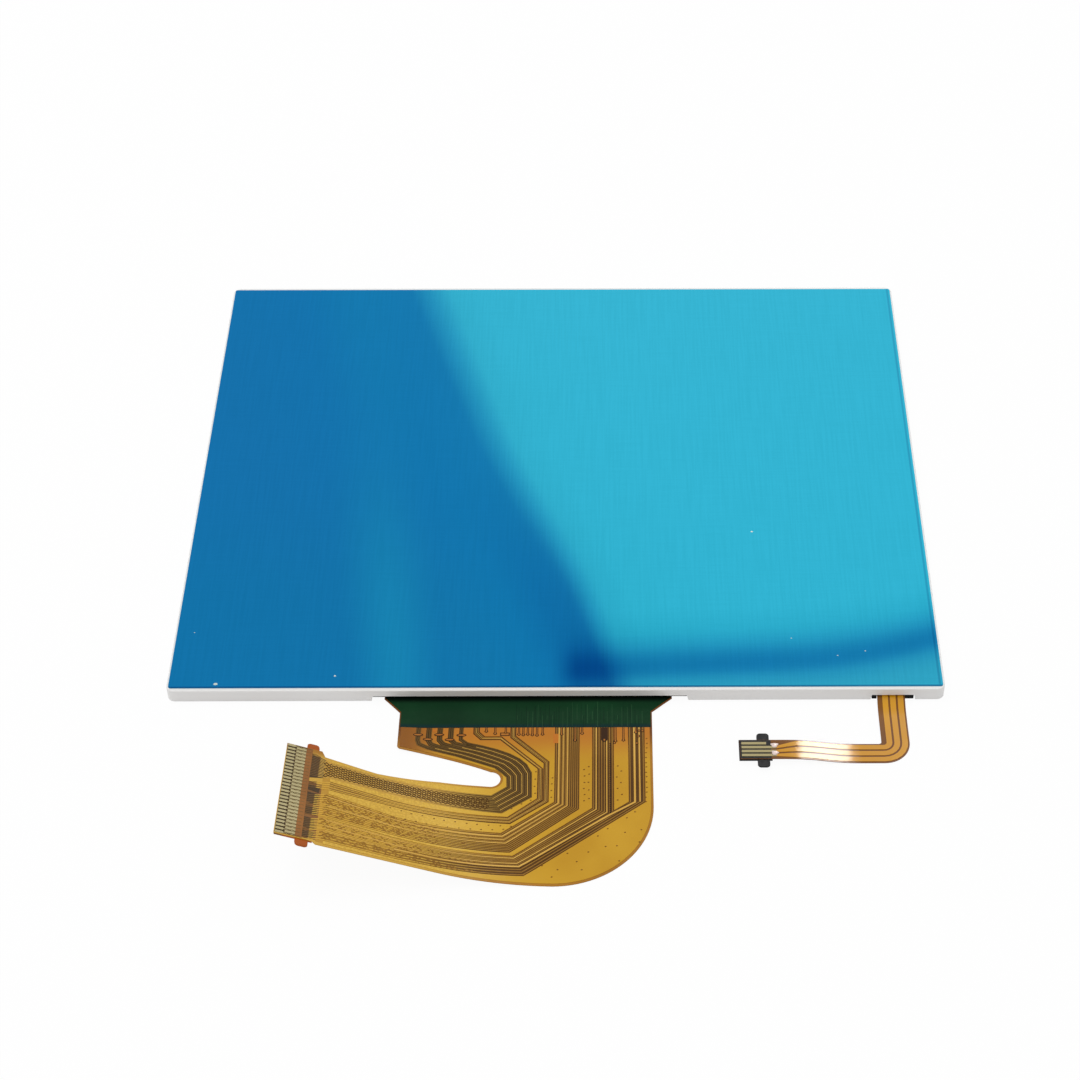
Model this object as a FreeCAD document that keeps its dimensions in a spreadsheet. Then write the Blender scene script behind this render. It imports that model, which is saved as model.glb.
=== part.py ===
import FreeCAD, Part
import math
import os
import Sketcher
from FreeCAD import Placement, Rotation, Vector

# Back-lit liquid crystal display module, lying face down as it is handled on a bench.
# A glass cell and its polarisers sit in the lower half of a white moulded frame, the light guide
# and its sheets in the upper half, under a glued back film. Two flexible circuits leave through
# notches in the near wall. X runs along the long side, Y away from the flexes, Z up from the
# display face, with the origin in the middle of that face.

os.makedirs("parts", exist_ok=True)
doc = FreeCAD.newDocument("lcd_display")
sheet = doc.addObject("Spreadsheet::Sheet", "sizes")

driving_sizes = [
    # module and frame
    ("module_width", 76.9),
    ("module_depth", 63.9),
    ("module_thick", 1.65),
    ("frame_wall", 0.9),
    ("frame_stand_off", 0.12),
    ("frame_corner_radius", 0.8),
    ("frame_edge_radius", 0.1),
    ("flange_width", 1.3),
    ("flange_thick", 0.15),
    ("notch_top", 0.76),
    ("notch_flare", 0.15),
    ("fit_clearance", 0.3),
    # glass cell
    ("side_border", 3.41),
    ("far_border", 3.77),
    ("near_border", 7.57),
    ("polariser_border", 0.9),
    ("front_polariser_thick", 0.15),
    ("rear_polariser_thick", 0.1),
    ("filter_glass_thick", 0.25),
    ("array_glass_thick", 0.2),
    ("glass_ledge", 2.6),
    ("chip_length", 19.0),
    ("chip_width", 0.9),
    ("chip_thick", 0.22),
    ("chip_setback", 0.5),
    ("tape_thick", 0.05),
    # light guide and sheets
    ("prism_thick", 0.06),
    ("diffuser_thick", 0.05),
    ("guide_thick", 0.48),
    ("reflector_thick", 0.08),
    ("back_film_thick", 0.08),
    ("film_side_gap", 0.2),
    ("film_end_gap", 0.4),
    ("film_corner_radius", 0.25),
    ("sheet_setback", 0.3),
    # light emitting diodes
    ("led_count", 6),
    ("led_spacing", 10.6),
    ("led_length", 3.8),
    ("led_depth", 1.0),
    ("led_height", 0.6),
    ("led_wall", 0.12),
    ("led_cup_depth", 0.45),
    ("led_gap", 0.1),
    # main flex
    ("flex_thick", 0.1),
    ("copper_thick", 0.03),
    ("mask_thick", 0.03),
    ("mask_gap", 0.02),
    ("table_gap", 0.02),
    ("main_offset", 2.95),
    ("main_width", 24.8),
    ("main_reach", 23.1),
    ("main_bond", 0.85),
    ("shoulder_left", 1.65),
    ("shoulder_right", 2.0),
    ("shoulder_drop", 1.6),
    ("main_step_run", 3.0),
    ("mask_reach", 3.6),
    ("arm_width", 12.4),
    ("arm_length", 10.75),
    ("corner_radius", 9.5),
    ("slot_mouth", 4.15),
    ("slot_depth", 10.15),
    ("slot_end_radius", 0.95),
    ("slot_crown", 0.3),
    ("lobe_corner", 0.35),
    ("throat_length", 4.9),
    ("throat_drop", 0.45),
    ("curl_radius", 23.0),
    ("curl_angle", 22.75),
    ("curl_bearing", 31.6),
    ("curl_setback", 0.1),
    # contact end of the main flex
    ("tongue_width", 13.45),
    ("tongue_length", 3.5),
    ("tongue_flare", 5.6),
    ("flare_rise", 0.6),
    ("flare_step", 0.35),
    ("tongue_shift", 0.85),
    ("tongue_skew", 0.3),
    ("contact_spacing", 0.5),
    ("contact_count", 27),
    ("contact_width", 0.3),
    ("contact_tip_gap", 0.1),
    ("front_contact_length", 0.75),
    ("rear_contact_length", 0.95),
    ("contact_row_gap", 0.15),
    ("line_width", 0.1),
    ("copper_margin", 0.25),
    ("pour_clearance", 0.12),
    ("smallest_pour", 1.2),
    ("stiffener_thick", 0.2),
    ("ear_length", 1.2),
    ("ear_reach", 0.85),
    ("ear_setback", 1.95),
    ("ear_radius", 0.35),
    # backlight flex
    ("backlight_inset", 3.95),
    ("branch_width", 2.75),
    ("backlight_reach", 8.25),
    ("backlight_arm_width", 2.4),
    ("backlight_arm_length", 13.85),
    ("backlight_corner", 2.6),
    ("inner_corner", 0.3),
    ("backlight_step_run", 3.4),
    ("led_strip_width", 1.7),
    ("led_strip_length", 62.0),
    ("backlight_thick", 0.08),
    ("lift_height", 0.66),
    ("lift_run", 7.2),
    ("lift_start", 2.15),
    ("wide_line_width", 0.56),
    ("wide_line_spacing", 0.76),
    ("wide_line_inset", 0.45),
    ("taper_length", 2.0),
    ("backlight_contact_count", 4),
    ("backlight_contact_length", 2.1),
    ("backlight_contact_tip_gap", 0.15),
    ("backlight_stiffener_length", 3.2),
    ("backlight_ear_length", 1.2),
    ("backlight_ear_reach", 0.85),
    ("backlight_ear_setback", 1.75),
    ("joint_radius", 0.28),
    ("joint_height", 0.06),
    # notches in the near wall
    ("main_notch_left", 1.1),
    ("main_notch_right", 1.5),
    ("backlight_notch_left", 0.5),
    ("backlight_notch_right", 0.9),
]

for row, (alias, value) in enumerate(driving_sizes, start=1):
    sheet.set("A%d" % row, alias)
    sheet.set("B%d" % row, str(value))
    sheet.setAlias("B%d" % row, alias)
doc.recompute()


def size(alias):
    """The number that the sheet holds under this name."""
    return float(sheet.get(alias))


# Heights of the stack, as expressions of the sheet, from the display face up.
filter_base = "sizes.front_polariser_thick"
array_base = filter_base + " + sizes.filter_glass_thick"
array_top = array_base + " + sizes.array_glass_thick"
flange_base = array_top + " + sizes.tape_thick"
flange_top = flange_base + " + sizes.flange_thick"
lower_prism_base = flange_top + " + sizes.prism_thick"
diffuser_base = lower_prism_base + " + sizes.prism_thick"
guide_base = diffuser_base + " + sizes.diffuser_thick"
reflector_base = guide_base + " + sizes.guide_thick"
frame_top = "sizes.module_thick - sizes.back_film_thick"
inner_width = "sizes.module_width - 2 * sizes.frame_wall"
inner_depth = "sizes.module_depth - 2 * sizes.frame_wall"
cell_width = inner_width + " - 2 * sizes.fit_clearance"
far_limit = "sizes.module_depth / 2 - sizes.frame_wall - sizes.fit_clearance"
ledge_end = "-sizes.module_depth / 2 + sizes.frame_wall + sizes.fit_clearance + 0.15"


def new_body(name):
    """An empty body whose label is the name of its piece."""
    body = doc.addObject("PartDesign::Body", name)
    body.Label = name
    return body


def origin_plane(body, role):
    """One of the body's own base planes."""
    return next(item for item in body.Origin.OriginFeatures if item.Role == role)


def rectangle(body, name, width, depth, x="0", y="0", z="0"):
    """A rectangle about its own middle, every measure an expression of the sheet."""
    sketch = body.newObject("Sketcher::SketchObject", name)
    sketch.AttachmentSupport = (origin_plane(body, "XY_Plane"), "")
    sketch.MapMode = "FlatFace"
    corners = [Vector(-1, -1, 0), Vector(1, -1, 0), Vector(1, 1, 0), Vector(-1, 1, 0)]
    for index in range(4):
        sketch.addGeometry(Part.LineSegment(corners[index], corners[(index + 1) % 4]))
    for index in range(4):
        sketch.addConstraint(Sketcher.Constraint("Coincident", index, 2, (index + 1) % 4, 1))
    for index in (0, 2):
        sketch.addConstraint(Sketcher.Constraint("Horizontal", index))
    for index in (1, 3):
        sketch.addConstraint(Sketcher.Constraint("Vertical", index))
    sketch.addConstraint(Sketcher.Constraint("Symmetric", 0, 1, 1, 2, -1, 1))
    across = sketch.addConstraint(Sketcher.Constraint("DistanceX", 0, 1, 0, 2, 2.0))
    along = sketch.addConstraint(Sketcher.Constraint("DistanceY", 1, 1, 1, 2, 2.0))
    sketch.setExpression("Constraints[%d]" % across, width)
    sketch.setExpression("Constraints[%d]" % along, depth)
    sketch.setExpression("AttachmentOffset.Base.x", x)
    sketch.setExpression("AttachmentOffset.Base.y", y)
    sketch.setExpression("AttachmentOffset.Base.z", z)
    return sketch


def pad(body, sketch, height):
    """Material above the sketch."""
    feature = body.newObject("PartDesign::Pad", sketch.Name + "_pad")
    feature.Profile = sketch
    feature.setExpression("Length", height)
    sketch.Visibility = False
    return feature


def pocket(body, sketch, height):
    """A pocket that rises from the sketch."""
    feature = body.newObject("PartDesign::Pocket", sketch.Name + "_pocket")
    feature.Profile = sketch
    feature.Reversed = True
    feature.setExpression("Length", height)
    sketch.Visibility = False
    return feature


def round_upright_edges(body, base, radius):
    """Rounds the edges of a plate that stand upright."""
    doc.recompute()
    names = []
    for number, edge in enumerate(base.Shape.Edges, start=1):
        first, last = edge.Vertexes[0].Point, edge.Vertexes[-1].Point
        if abs(first.x - last.x) < 1e-6 and abs(first.y - last.y) < 1e-6:
            names.append("Edge%d" % number)
    fillet = body.newObject("PartDesign::Fillet", body.Name + "_corners")
    fillet.Base = (base, names)
    fillet.setExpression("Radius", radius)
    return fillet


def plate(name, width, depth, height, x="0", y="0", z="0", corner=None):
    """A flat sheet of one thickness."""
    body = new_body(name)
    base = pad(body, rectangle(body, name + "_outline", width, depth, x, y, z), height)
    if corner:
        round_upright_edges(body, base, corner)
    return body


def between_limits(near, far):
    """Depth and middle of a plate that runs from one Y to another."""
    return "(%s) - (%s)" % (far, near), "((%s) + (%s)) / 2" % (far, near)


# Glass cell: two sheets of glass with a polariser on each side. The array glass is longer on the
# near side, and that ledge carries the driver chip and the bonded end of the main flex.
def make_glass_cell():
    width = "sizes.module_width - 2 * sizes.side_border + 2 * sizes.polariser_border"
    near = "-sizes.module_depth / 2 + sizes.near_border - sizes.polariser_border"
    far = "sizes.module_depth / 2 - sizes.far_border + sizes.polariser_border"
    depth, middle = between_limits(near, far)
    plate("front_polariser", width, depth, "sizes.front_polariser_thick", y=middle)
    plate("rear_polariser", width, depth, "sizes.rear_polariser_thick", y=middle, z=array_top)
    depth, middle = between_limits(ledge_end + " + sizes.glass_ledge", far_limit)
    plate("colour_filter_glass", cell_width, depth, "sizes.filter_glass_thick", y=middle,
          z=filter_base)
    depth, middle = between_limits(ledge_end, far_limit)
    plate("array_glass", cell_width, depth, "sizes.array_glass_thick", y=middle, z=array_base)


def make_driver_chip():
    near = ledge_end + " + sizes.glass_ledge - sizes.chip_setback - sizes.chip_width"
    depth, middle = between_limits(near, near + " + sizes.chip_width")
    plate("driver_chip", "sizes.chip_length", depth, "sizes.chip_thick",
          x="-sizes.main_offset", y=middle, z="(%s) - sizes.chip_thick" % array_base)


# Rim tape: a U of double-sided tape between the array glass and the frame's flange.
def make_rim_tape():
    body = new_body("rim_tape")
    near = "-sizes.module_depth / 2 + sizes.frame_wall + sizes.glass_ledge"
    depth, middle = between_limits(near, far_limit)
    outline = rectangle(body, "rim_tape_outline", cell_width, depth, y=middle, z=array_top)
    pad(body, outline, "sizes.tape_thick")
    opening = rectangle(body, "rim_tape_opening", cell_width + " - 2 * sizes.flange_width", depth,
                        y="(%s) - sizes.flange_width" % middle, z=array_top)
    pocket(body, opening, "sizes.tape_thick")


# Backlight frame: a white moulded ring. The glass bay is open below, the light guide bay above,
# and a thin flange between them runs round three sides. The near side has no flange, because
# the diodes and their flexible strip fill that space.
def make_frame():
    body = new_body("backlight_frame")
    outline = rectangle(body, "frame_outline", "sizes.module_width", "sizes.module_depth",
                        z="sizes.frame_stand_off")
    ring = pad(body, outline, "(%s) - sizes.frame_stand_off" % frame_top)
    corners = round_upright_edges(body, ring, "sizes.frame_corner_radius")
    doc.recompute()
    highest = corners.Shape.BoundBox.ZMax
    rims = []
    for number, edge in enumerate(corners.Shape.Edges, start=1):
        if edge.BoundBox.ZMin > highest - size("frame_edge_radius"):
            rims.append("Edge%d" % number)
    soft_rims = body.newObject("PartDesign::Fillet", "frame_rims")
    soft_rims.Base = (corners, rims)
    soft_rims.setExpression("Radius", "sizes.frame_edge_radius")
    lower_bay = rectangle(body, "glass_bay", inner_width, inner_depth, z="sizes.frame_stand_off")
    pocket(body, lower_bay, "(%s) - sizes.frame_stand_off" % flange_base)
    upper_bay = rectangle(body, "guide_bay", inner_width, inner_depth, z=flange_top)
    pocket(body, upper_bay, "(%s) - (%s)" % (frame_top, flange_top))
    near = "-sizes.module_depth / 2 + sizes.frame_wall"
    far = "sizes.module_depth / 2 - sizes.frame_wall - sizes.flange_width"
    depth, middle = between_limits(near, far)
    window = rectangle(body, "window", inner_width + " - 2 * sizes.flange_width", depth, y=middle,
                       z=flange_base)
    pocket(body, window, "sizes.flange_thick")
    near_strip = rectangle(body, "led_bay", inner_width, "sizes.glass_ledge",
                           y="-sizes.module_depth / 2 + sizes.frame_wall + sizes.glass_ledge / 2",
                           z=flange_base)
    pocket(body, near_strip, "sizes.flange_thick")
    main_left = "-sizes.main_offset - sizes.main_width / 2 - sizes.shoulder_left - sizes.main_notch_left"
    main_right = "-sizes.main_offset + sizes.main_width / 2 + sizes.shoulder_right + sizes.main_notch_right"
    notch(body, "main_notch", main_left, main_right)
    branch_right = "sizes.module_width / 2 - sizes.backlight_inset"
    notch(body, "backlight_notch", branch_right + " - sizes.branch_width - sizes.backlight_notch_left",
          branch_right + " + sizes.backlight_notch_right")


def notch(body, name, left, right):
    """A notch through the near wall that opens downwards and widens towards its mouth."""
    sketch = body.newObject("Sketcher::SketchObject", name)
    sketch.AttachmentSupport = (origin_plane(body, "XZ_Plane"), "")
    sketch.MapMode = "FlatFace"
    points = [Vector(-2, 0, 0), Vector(2, 0, 0), Vector(1, 1, 0), Vector(-1, 1, 0)]
    for index in range(4):
        sketch.addGeometry(Part.LineSegment(points[index], points[(index + 1) % 4]))
    for index in range(4):
        sketch.addConstraint(Sketcher.Constraint("Coincident", index, 2, (index + 1) % 4, 1))
    sketch.addConstraint(Sketcher.Constraint("Symmetric", 0, 1, 0, 2, -2))
    sketch.addConstraint(Sketcher.Constraint("Symmetric", 2, 1, 2, 2, -2))
    sketch.addConstraint(Sketcher.Constraint("PointOnObject", 0, 1, -1))
    mouth = sketch.addConstraint(Sketcher.Constraint("DistanceX", 0, 1, 0, 2, 4.0))
    roof = sketch.addConstraint(Sketcher.Constraint("DistanceX", 2, 2, 2, 1, 2.0))
    rise = sketch.addConstraint(Sketcher.Constraint("DistanceY", 0, 2, 2, 1, 1.0))
    span = "(%s) - (%s)" % (right, left)
    sketch.setExpression("Constraints[%d]" % mouth, span + " + 2 * sizes.notch_flare")
    sketch.setExpression("Constraints[%d]" % roof, span)
    sketch.setExpression("Constraints[%d]" % rise, "sizes.notch_top")
    sketch.setExpression("AttachmentOffset.Base.x", "((%s) + (%s)) / 2" % (left, right))
    sketch.setExpression("AttachmentOffset.Base.z", "sizes.module_depth / 2 - sizes.frame_wall")
    opening = body.newObject("PartDesign::Pocket", name + "_pocket")
    opening.Profile = sketch
    opening.Reversed = True
    opening.setExpression("Length", "2 * sizes.frame_wall")
    sketch.Visibility = False


# Light guide and its sheets, from the display side: two crossed prism sheets, a diffuser, the
# guide and a reflector. The back film is glued over the whole frame.
def make_light_guide_stack():
    near = ledge_end + " + sizes.led_strip_width - sizes.led_gap - sizes.led_gap"
    depth, middle = between_limits(near, far_limit)
    plate("light_guide", cell_width, depth, "sizes.guide_thick", y=middle, z=guide_base)
    sheet_width = cell_width + " - 2 * sizes.sheet_setback"
    depth, middle = between_limits(near + " + sizes.sheet_setback", far_limit + " - sizes.sheet_setback")
    plate("upper_prism_sheet", sheet_width, depth, "sizes.prism_thick", y=middle, z=flange_top)
    plate("lower_prism_sheet", sheet_width, depth, "sizes.prism_thick", y=middle, z=lower_prism_base)
    plate("diffuser_sheet", sheet_width, depth, "sizes.diffuser_thick", y=middle, z=diffuser_base)
    depth, middle = between_limits(ledge_end, far_limit)
    plate("reflector_sheet", cell_width, depth, "sizes.reflector_thick", y=middle, z=reflector_base)
    plate("back_film", "sizes.module_width - 2 * sizes.film_side_gap",
          "sizes.module_depth - 2 * sizes.film_end_gap", "sizes.back_film_thick", z=frame_top,
          corner="sizes.film_corner_radius")


# Row of side-view diodes on the inner strip of the backlight flex. Each is a white cup whose
# mouth faces the light guide, filled with yellow phosphor.
def make_led_row():
    strip_top = "(%s) + sizes.table_gap + sizes.backlight_thick" % array_top
    back = ledge_end + " + sizes.led_strip_width - 3 * sizes.led_gap - sizes.led_depth"
    cup_floor = "(%s) + sizes.led_depth - sizes.led_cup_depth" % back
    first = "-sizes.led_spacing * (sizes.led_count - 1) / 2"
    cups = []
    windows = []
    for index in range(int(size("led_count"))):
        left = "%s + %d * sizes.led_spacing - sizes.led_length / 2" % (first, index)
        inner = (left + " + sizes.led_wall", cup_floor, "(%s) + sizes.led_wall" % strip_top)
        opening = ("sizes.led_length - 2 * sizes.led_wall", "sizes.led_cup_depth",
                   "sizes.led_height - 2 * sizes.led_wall")
        case = box("led_case_%d" % index, (left, back, strip_top),
                   ("sizes.led_length", "sizes.led_depth", "sizes.led_height"))
        bore = box("led_bore_%d" % index, inner, opening)
        cup = doc.addObject("Part::Cut", "led_cup_%d" % index)
        cup.Base = case
        cup.Tool = bore
        cups.append(cup)
        windows.append(box("led_window_%d" % index, inner, opening))
    group("led_row", cups)
    group("led_windows", windows)


def box(name, corner, measures):
    """A block placed by its lowest corner, all by expressions."""
    block = doc.addObject("Part::Box", name)
    for prop, expression in zip(("Length", "Width", "Height"), measures):
        block.setExpression(prop, expression)
    for axis, expression in zip("xyz", corner):
        block.setExpression("Placement.Base.%s" % axis, expression)
    return block


def group(name, members):
    """Like pieces that share one node."""
    compound = doc.addObject("Part::Compound", name)
    compound.Label = name
    compound.Links = members
    return compound


# A bent film is cut from a curved slab: the film's side view, swept along the fold. A side view
# is a list of moves, each a length and the angle it turns through.
def side_line(start, heading, moves, height):
    """Curves of a line that runs at this height above the bent path."""
    along, up = start
    curves = []
    for length, turn in moves:
        first = (along - height * math.sin(heading), up + height * math.cos(heading))
        if turn == 0:
            along += length * math.cos(heading)
            up += length * math.sin(heading)
            middle = None
        else:
            radius = length / turn
            centre = (along - radius * math.sin(heading), up + radius * math.cos(heading))
            half = heading + turn / 2
            heading += turn
            middle = (centre[0] + (radius - height) * math.sin(half),
                      centre[1] - (radius - height) * math.cos(half))
            along = centre[0] + radius * math.sin(heading)
            up = centre[1] - radius * math.cos(heading)
        last = (along - height * math.sin(heading), up + height * math.cos(heading))
        curves.append((first, middle, last))
    return curves


def curved_slab(place, start, moves, low, high, fold):
    """The layer between two heights above a bent path, swept by the vector fold."""
    edges = []
    lines = [side_line(start, 0.0, moves, height) for height in (low, high)]
    for line in lines:
        for first, middle, last in line:
            if middle is None:
                edges.append(Part.LineSegment(place(*first), place(*last)).toShape())
            else:
                edges.append(Part.Arc(place(*first), place(*middle), place(*last)).toShape())
    for end in (lambda line: line[0][0], lambda line: line[-1][2]):
        edges.append(Part.LineSegment(place(*end(lines[0])), place(*end(lines[1]))).toShape())
    profile = Part.Face(Part.Wire(Part.__sortEdges__(edges)))
    return profile.extrude(fold)


def step_moves(run, drop):
    """Two equal arcs that lower a film by drop over run."""
    turn = 2 * math.atan2(drop, run)
    radius = run / (2 * math.sin(turn))
    return [(radius * turn, -turn), (radius * turn, turn)]


def upright(face):
    """A plan shape as a tall prism, to cut a slab with."""
    face.translate(Vector(0, 0, -prism_depth))
    return face.extrude(Vector(0, 0, prism_height))


def plan_face(points):
    """A flat face with straight edges."""
    corners = [Vector(x, y, 0) for x, y in points]
    return Part.Face(Part.makePolygon(corners + corners[:1]))


def shifted_line(points, distance):
    """The same route, moved sideways to its left, with its corners mitred."""
    normals = []
    for (x1, y1), (x2, y2) in zip(points, points[1:]):
        length = math.hypot(x2 - x1, y2 - y1)
        normals.append(((y1 - y2) / length, (x2 - x1) / length))
    moved = []
    for index, (x, y) in enumerate(points):
        before = normals[max(index - 1, 0)]
        after = normals[min(index, len(normals) - 1)]
        share = 1 + before[0] * after[0] + before[1] * after[1]
        moved.append((x + distance * (before[0] + after[0]) / share,
                      y + distance * (before[1] + after[1]) / share))
    return moved


def strip(points, width):
    """Outline of a line of even width."""
    return shifted_line(points, width / 2) + shifted_line(points, -width / 2)[::-1]


def route_between(first, last, share):
    """A route that lies a share of the way from one route to another."""
    return [(a[0] + (b[0] - a[0]) * share, a[1] + (b[1] - a[1]) * share) for a, b in zip(first, last)]


def piece(name, shape, lift=0.0):
    """A piece whose shape is worked out here, set at its height."""
    item = doc.addObject("Part::Feature", name)
    item.Label = name
    item.Shape = shape
    item.Placement = Placement(Vector(0, 0, lift), Rotation())
    return item


prism_depth = 1.0
prism_height = 20.0
sweep_reach = size("module_width")
wall = -size("module_depth") / 2
glass_end = wall + size("frame_wall") + size("fit_clearance") + 0.15
bond_height = size("front_polariser_thick") + size("filter_glass_thick") - size("flex_thick")
copper_low = size("flex_thick")
copper_high = copper_low + size("copper_thick")

# Main flex: places in its plan, before it is bent.
main_left = -size("main_offset") - size("main_width") / 2
main_right = main_left + size("main_width")
arm_bottom = wall - size("main_reach")
arm_top = arm_bottom + size("arm_width")
arm_tip = main_left - size("arm_length")
tongue_middle = (arm_top + arm_bottom) / 2 + size("tongue_shift")
tongue_top = tongue_middle + size("tongue_width") / 2
tongue_bottom = tongue_middle - size("tongue_width") / 2
tongue_root = arm_tip + size("tongue_length")
bundle_end = tongue_root + 0.3 * size("tongue_length")
step_end = wall + 0.55 - size("main_step_run")
mask_end = wall - size("mask_reach")
line_start = mask_end - size("mask_gap")
bearing = math.radians(size("curl_bearing"))
curl = math.radians(size("curl_angle"))
curl_base = (main_right - size("corner_radius") - size("curl_setback"), arm_bottom)


def laid(point):
    """Where a point of the flat film lies in plan once the arm curls up, a little askew."""
    x, y = point
    share = max(0.0, (main_left - x) / size("arm_length"))
    x += share * size("tongue_skew") * (y - tongue_middle) / size("tongue_width")
    away = (-math.cos(bearing), -math.sin(bearing))
    distance = (x - curl_base[0]) * away[0] + (y - curl_base[1]) * away[1]
    if distance <= 0:
        return (x, y)
    bent = min(distance, size("curl_radius") * curl)
    reach = size("curl_radius") * math.sin(bent / size("curl_radius"))
    reach += (distance - bent) * math.cos(curl)
    return (x + (reach - distance) * away[0], y + (reach - distance) * away[1])


def across_body(share):
    """An X between the left and right edges of the main flex."""
    return main_left + share * size("main_width")


def across_arm(share):
    """A Y between the bottom and top edges of the arm."""
    return arm_bottom + share * size("arm_width")


def arm_slab(low, high):
    """A layer of the main flex beyond its step: flat, then curled up along a slanting fold."""
    away = Vector(-math.cos(bearing), -math.sin(bearing), 0)
    fold = Vector(-away.y, away.x, 0)
    base = Vector(curl_base[0], curl_base[1], 0) - fold * sweep_reach
    moves = [(sweep_reach, 0), (size("curl_radius") * curl, curl), (sweep_reach, 0)]
    slab = curved_slab(lambda along, up: base + away * along + Vector(0, 0, up), (-sweep_reach, 0.0),
                       moves, low, high, fold * 2 * sweep_reach)
    near_side = Part.makeBox(2 * sweep_reach, sweep_reach, prism_height,
                             Vector(-sweep_reach, step_end - sweep_reach, -prism_depth))
    return slab.common(near_side)


def step_slab(low, high):
    """A layer of the main flex from its bond under the glass, down its step to the table."""
    inner = glass_end + size("main_bond")
    drop = bond_height - size("table_gap")
    moves = [(inner - step_end - size("main_step_run"), 0)] + step_moves(size("main_step_run"), drop)
    return curved_slab(lambda along, up: Vector(-sweep_reach, inner - along, up), (0.0, drop), moves,
                       low, high, Vector(2 * sweep_reach, 0, 0))


def main_outline():
    """Plan of the main flex, as one face."""
    slot_end = main_left + size("slot_depth")
    radius = size("slot_end_radius")
    middle = arm_top - size("throat_drop") + radius
    lobe = arm_top + size("slot_mouth")
    lobe_corner = size("lobe_corner")
    slot_x = slot_end - radius
    crown = ((main_left + lobe_corner + slot_x) / 2,
             (lobe + middle + radius) / 2 + size("slot_crown"))
    corner = size("corner_radius")
    diagonal = corner * (1 - math.sqrt(0.5))
    inner = glass_end + size("main_bond")
    left_in = main_left - size("shoulder_left")
    right_in = main_right + size("shoulder_right")
    flare_end = tongue_root + size("tongue_flare")
    route = [
        (left_in, inner), (left_in, wall), (main_left, wall - size("shoulder_drop")),
        (main_left, lobe + lobe_corner),
        ("arc", main_left + 0.3 * lobe_corner, lobe + 0.3 * lobe_corner), (main_left + lobe_corner, lobe),
        ("arc",) + crown, (slot_x, middle + radius),
        ("arc", slot_end, middle), (slot_x, middle - radius),
        (slot_x - size("throat_length"), arm_top), (flare_end, arm_top),
        (tongue_root + size("flare_step"), arm_top + size("flare_rise")), (tongue_root, tongue_top),
        (arm_tip, tongue_top), (arm_tip, tongue_bottom), (tongue_root, tongue_bottom),
        (tongue_root + size("flare_step"), arm_bottom), (main_right - corner, arm_bottom),
        ("arc", main_right - diagonal, arm_bottom + diagonal), (main_right, arm_bottom + corner),
        (main_right, wall - size("shoulder_drop")), (right_in, wall), (right_in, inner),
    ]
    return routed_face(route, laid)


def routed_face(route, place):
    """A face from corners, with the point that an arc passes through marked as such."""
    edges = []
    previous = route[-1]
    through = None
    for step in route:
        if step[0] == "arc":
            through = step[1:]
            continue
        first = Vector(*place(previous), 0)
        last = Vector(*place(step), 0)
        if through:
            edges.append(Part.Arc(first, Vector(*place(through), 0), last).toShape())
            through = None
        else:
            edges.append(Part.LineSegment(first, last).toShape())
        previous = step
    return Part.Face(Part.Wire(edges))


def make_main_flex():
    film = step_slab(0.0, copper_low).fuse(arm_slab(0.0, copper_low)).removeSplitter()
    piece("main_flex", film.common(upright(main_outline())).removeSplitter(), size("table_gap"))


# Green solder mask: a printed lacquer over the root of the main flex.
def make_green_mask():
    high = copper_low + size("mask_thick")
    layer = step_slab(copper_low, high).fuse(arm_slab(copper_low, high)).removeSplitter()
    inset = main_outline().makeOffset2D(-size("copper_margin") / 2)
    reach = Part.makeBox(2 * sweep_reach, wall + 0.5 - mask_end, prism_height,
                         Vector(-sweep_reach, mask_end, -prism_depth))
    piece("green_mask", layer.common(upright(inset)).common(reach).removeSplitter(), size("table_gap"))


def contact_height(number):
    """Y of a contact, counted from the top at half the pitch."""
    highest = tongue_middle + (size("contact_count") - 1) * size("contact_spacing") / 2
    return highest - number * size("contact_spacing") / 2


# Routes of the conductor bundles. Each has a first and a last route, and the others lie evenly
# between them. They leave the green mask, turn at a slant into the arm, drift towards the
# contacts and fan out on to them.
def routed_bundle(first, last, count, contact):
    """Centre lines of a bundle whose lines end on consecutive contacts."""
    return [fanned(route_between(first, last, index / (count - 1)), contact + index)
            for index in range(count)]


def fanned(route, contact):
    """The route with its last run on to the tail of a contact."""
    tail_end = arm_tip + contact_field()
    height = contact_height(contact)
    return route + [(tail_end + 3 * size("line_width"), height), (tail_end, height)]


def contact_field():
    """Length of the staggered contacts, from the tip to where the lines begin."""
    rows = size("front_contact_length") + size("contact_row_gap") + size("rear_contact_length")
    return size("contact_tip_gap") + rows + 4 * size("contact_row_gap")


def pair_guides():
    """Innermost and outermost differential pair, from their pads round the end of the slot."""
    lobe = arm_top + size("slot_mouth")
    inner = [(across_body(0.077), line_start), (across_body(0.075), lobe + 1.25),
             (across_body(0.082), lobe + 0.7), (across_body(0.122), lobe + 0.2),
             (across_body(0.23), lobe - 0.6), (across_body(0.338), lobe - 1.65),
             (across_body(0.388), arm_top + 2.0), (across_body(0.416), arm_top + 1.35),
             (across_body(0.4375), arm_top + 0.75), (across_body(0.44), arm_top - 0.55),
             (across_body(0.377), across_arm(0.862)), (across_body(0.014), across_arm(0.944)),
             (bundle_end, across_arm(0.985))]
    outer = [(across_body(0.25), line_start), (across_body(0.249), lobe + 1.4),
             (across_body(0.274), lobe + 0.87), (across_body(0.335), lobe + 0.45),
             (across_body(0.389), lobe), (across_body(0.44), lobe - 0.57),
             (across_body(0.479), lobe - 1.2), (across_body(0.505), arm_top + 2.27),
             (across_body(0.524), arm_top + 1.25), (across_body(0.526), arm_top - 1.7),
             (across_body(0.417), across_arm(0.71)), (across_body(0.014), across_arm(0.798)),
             (bundle_end, across_arm(0.81))]
    return inner, outer


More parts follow.
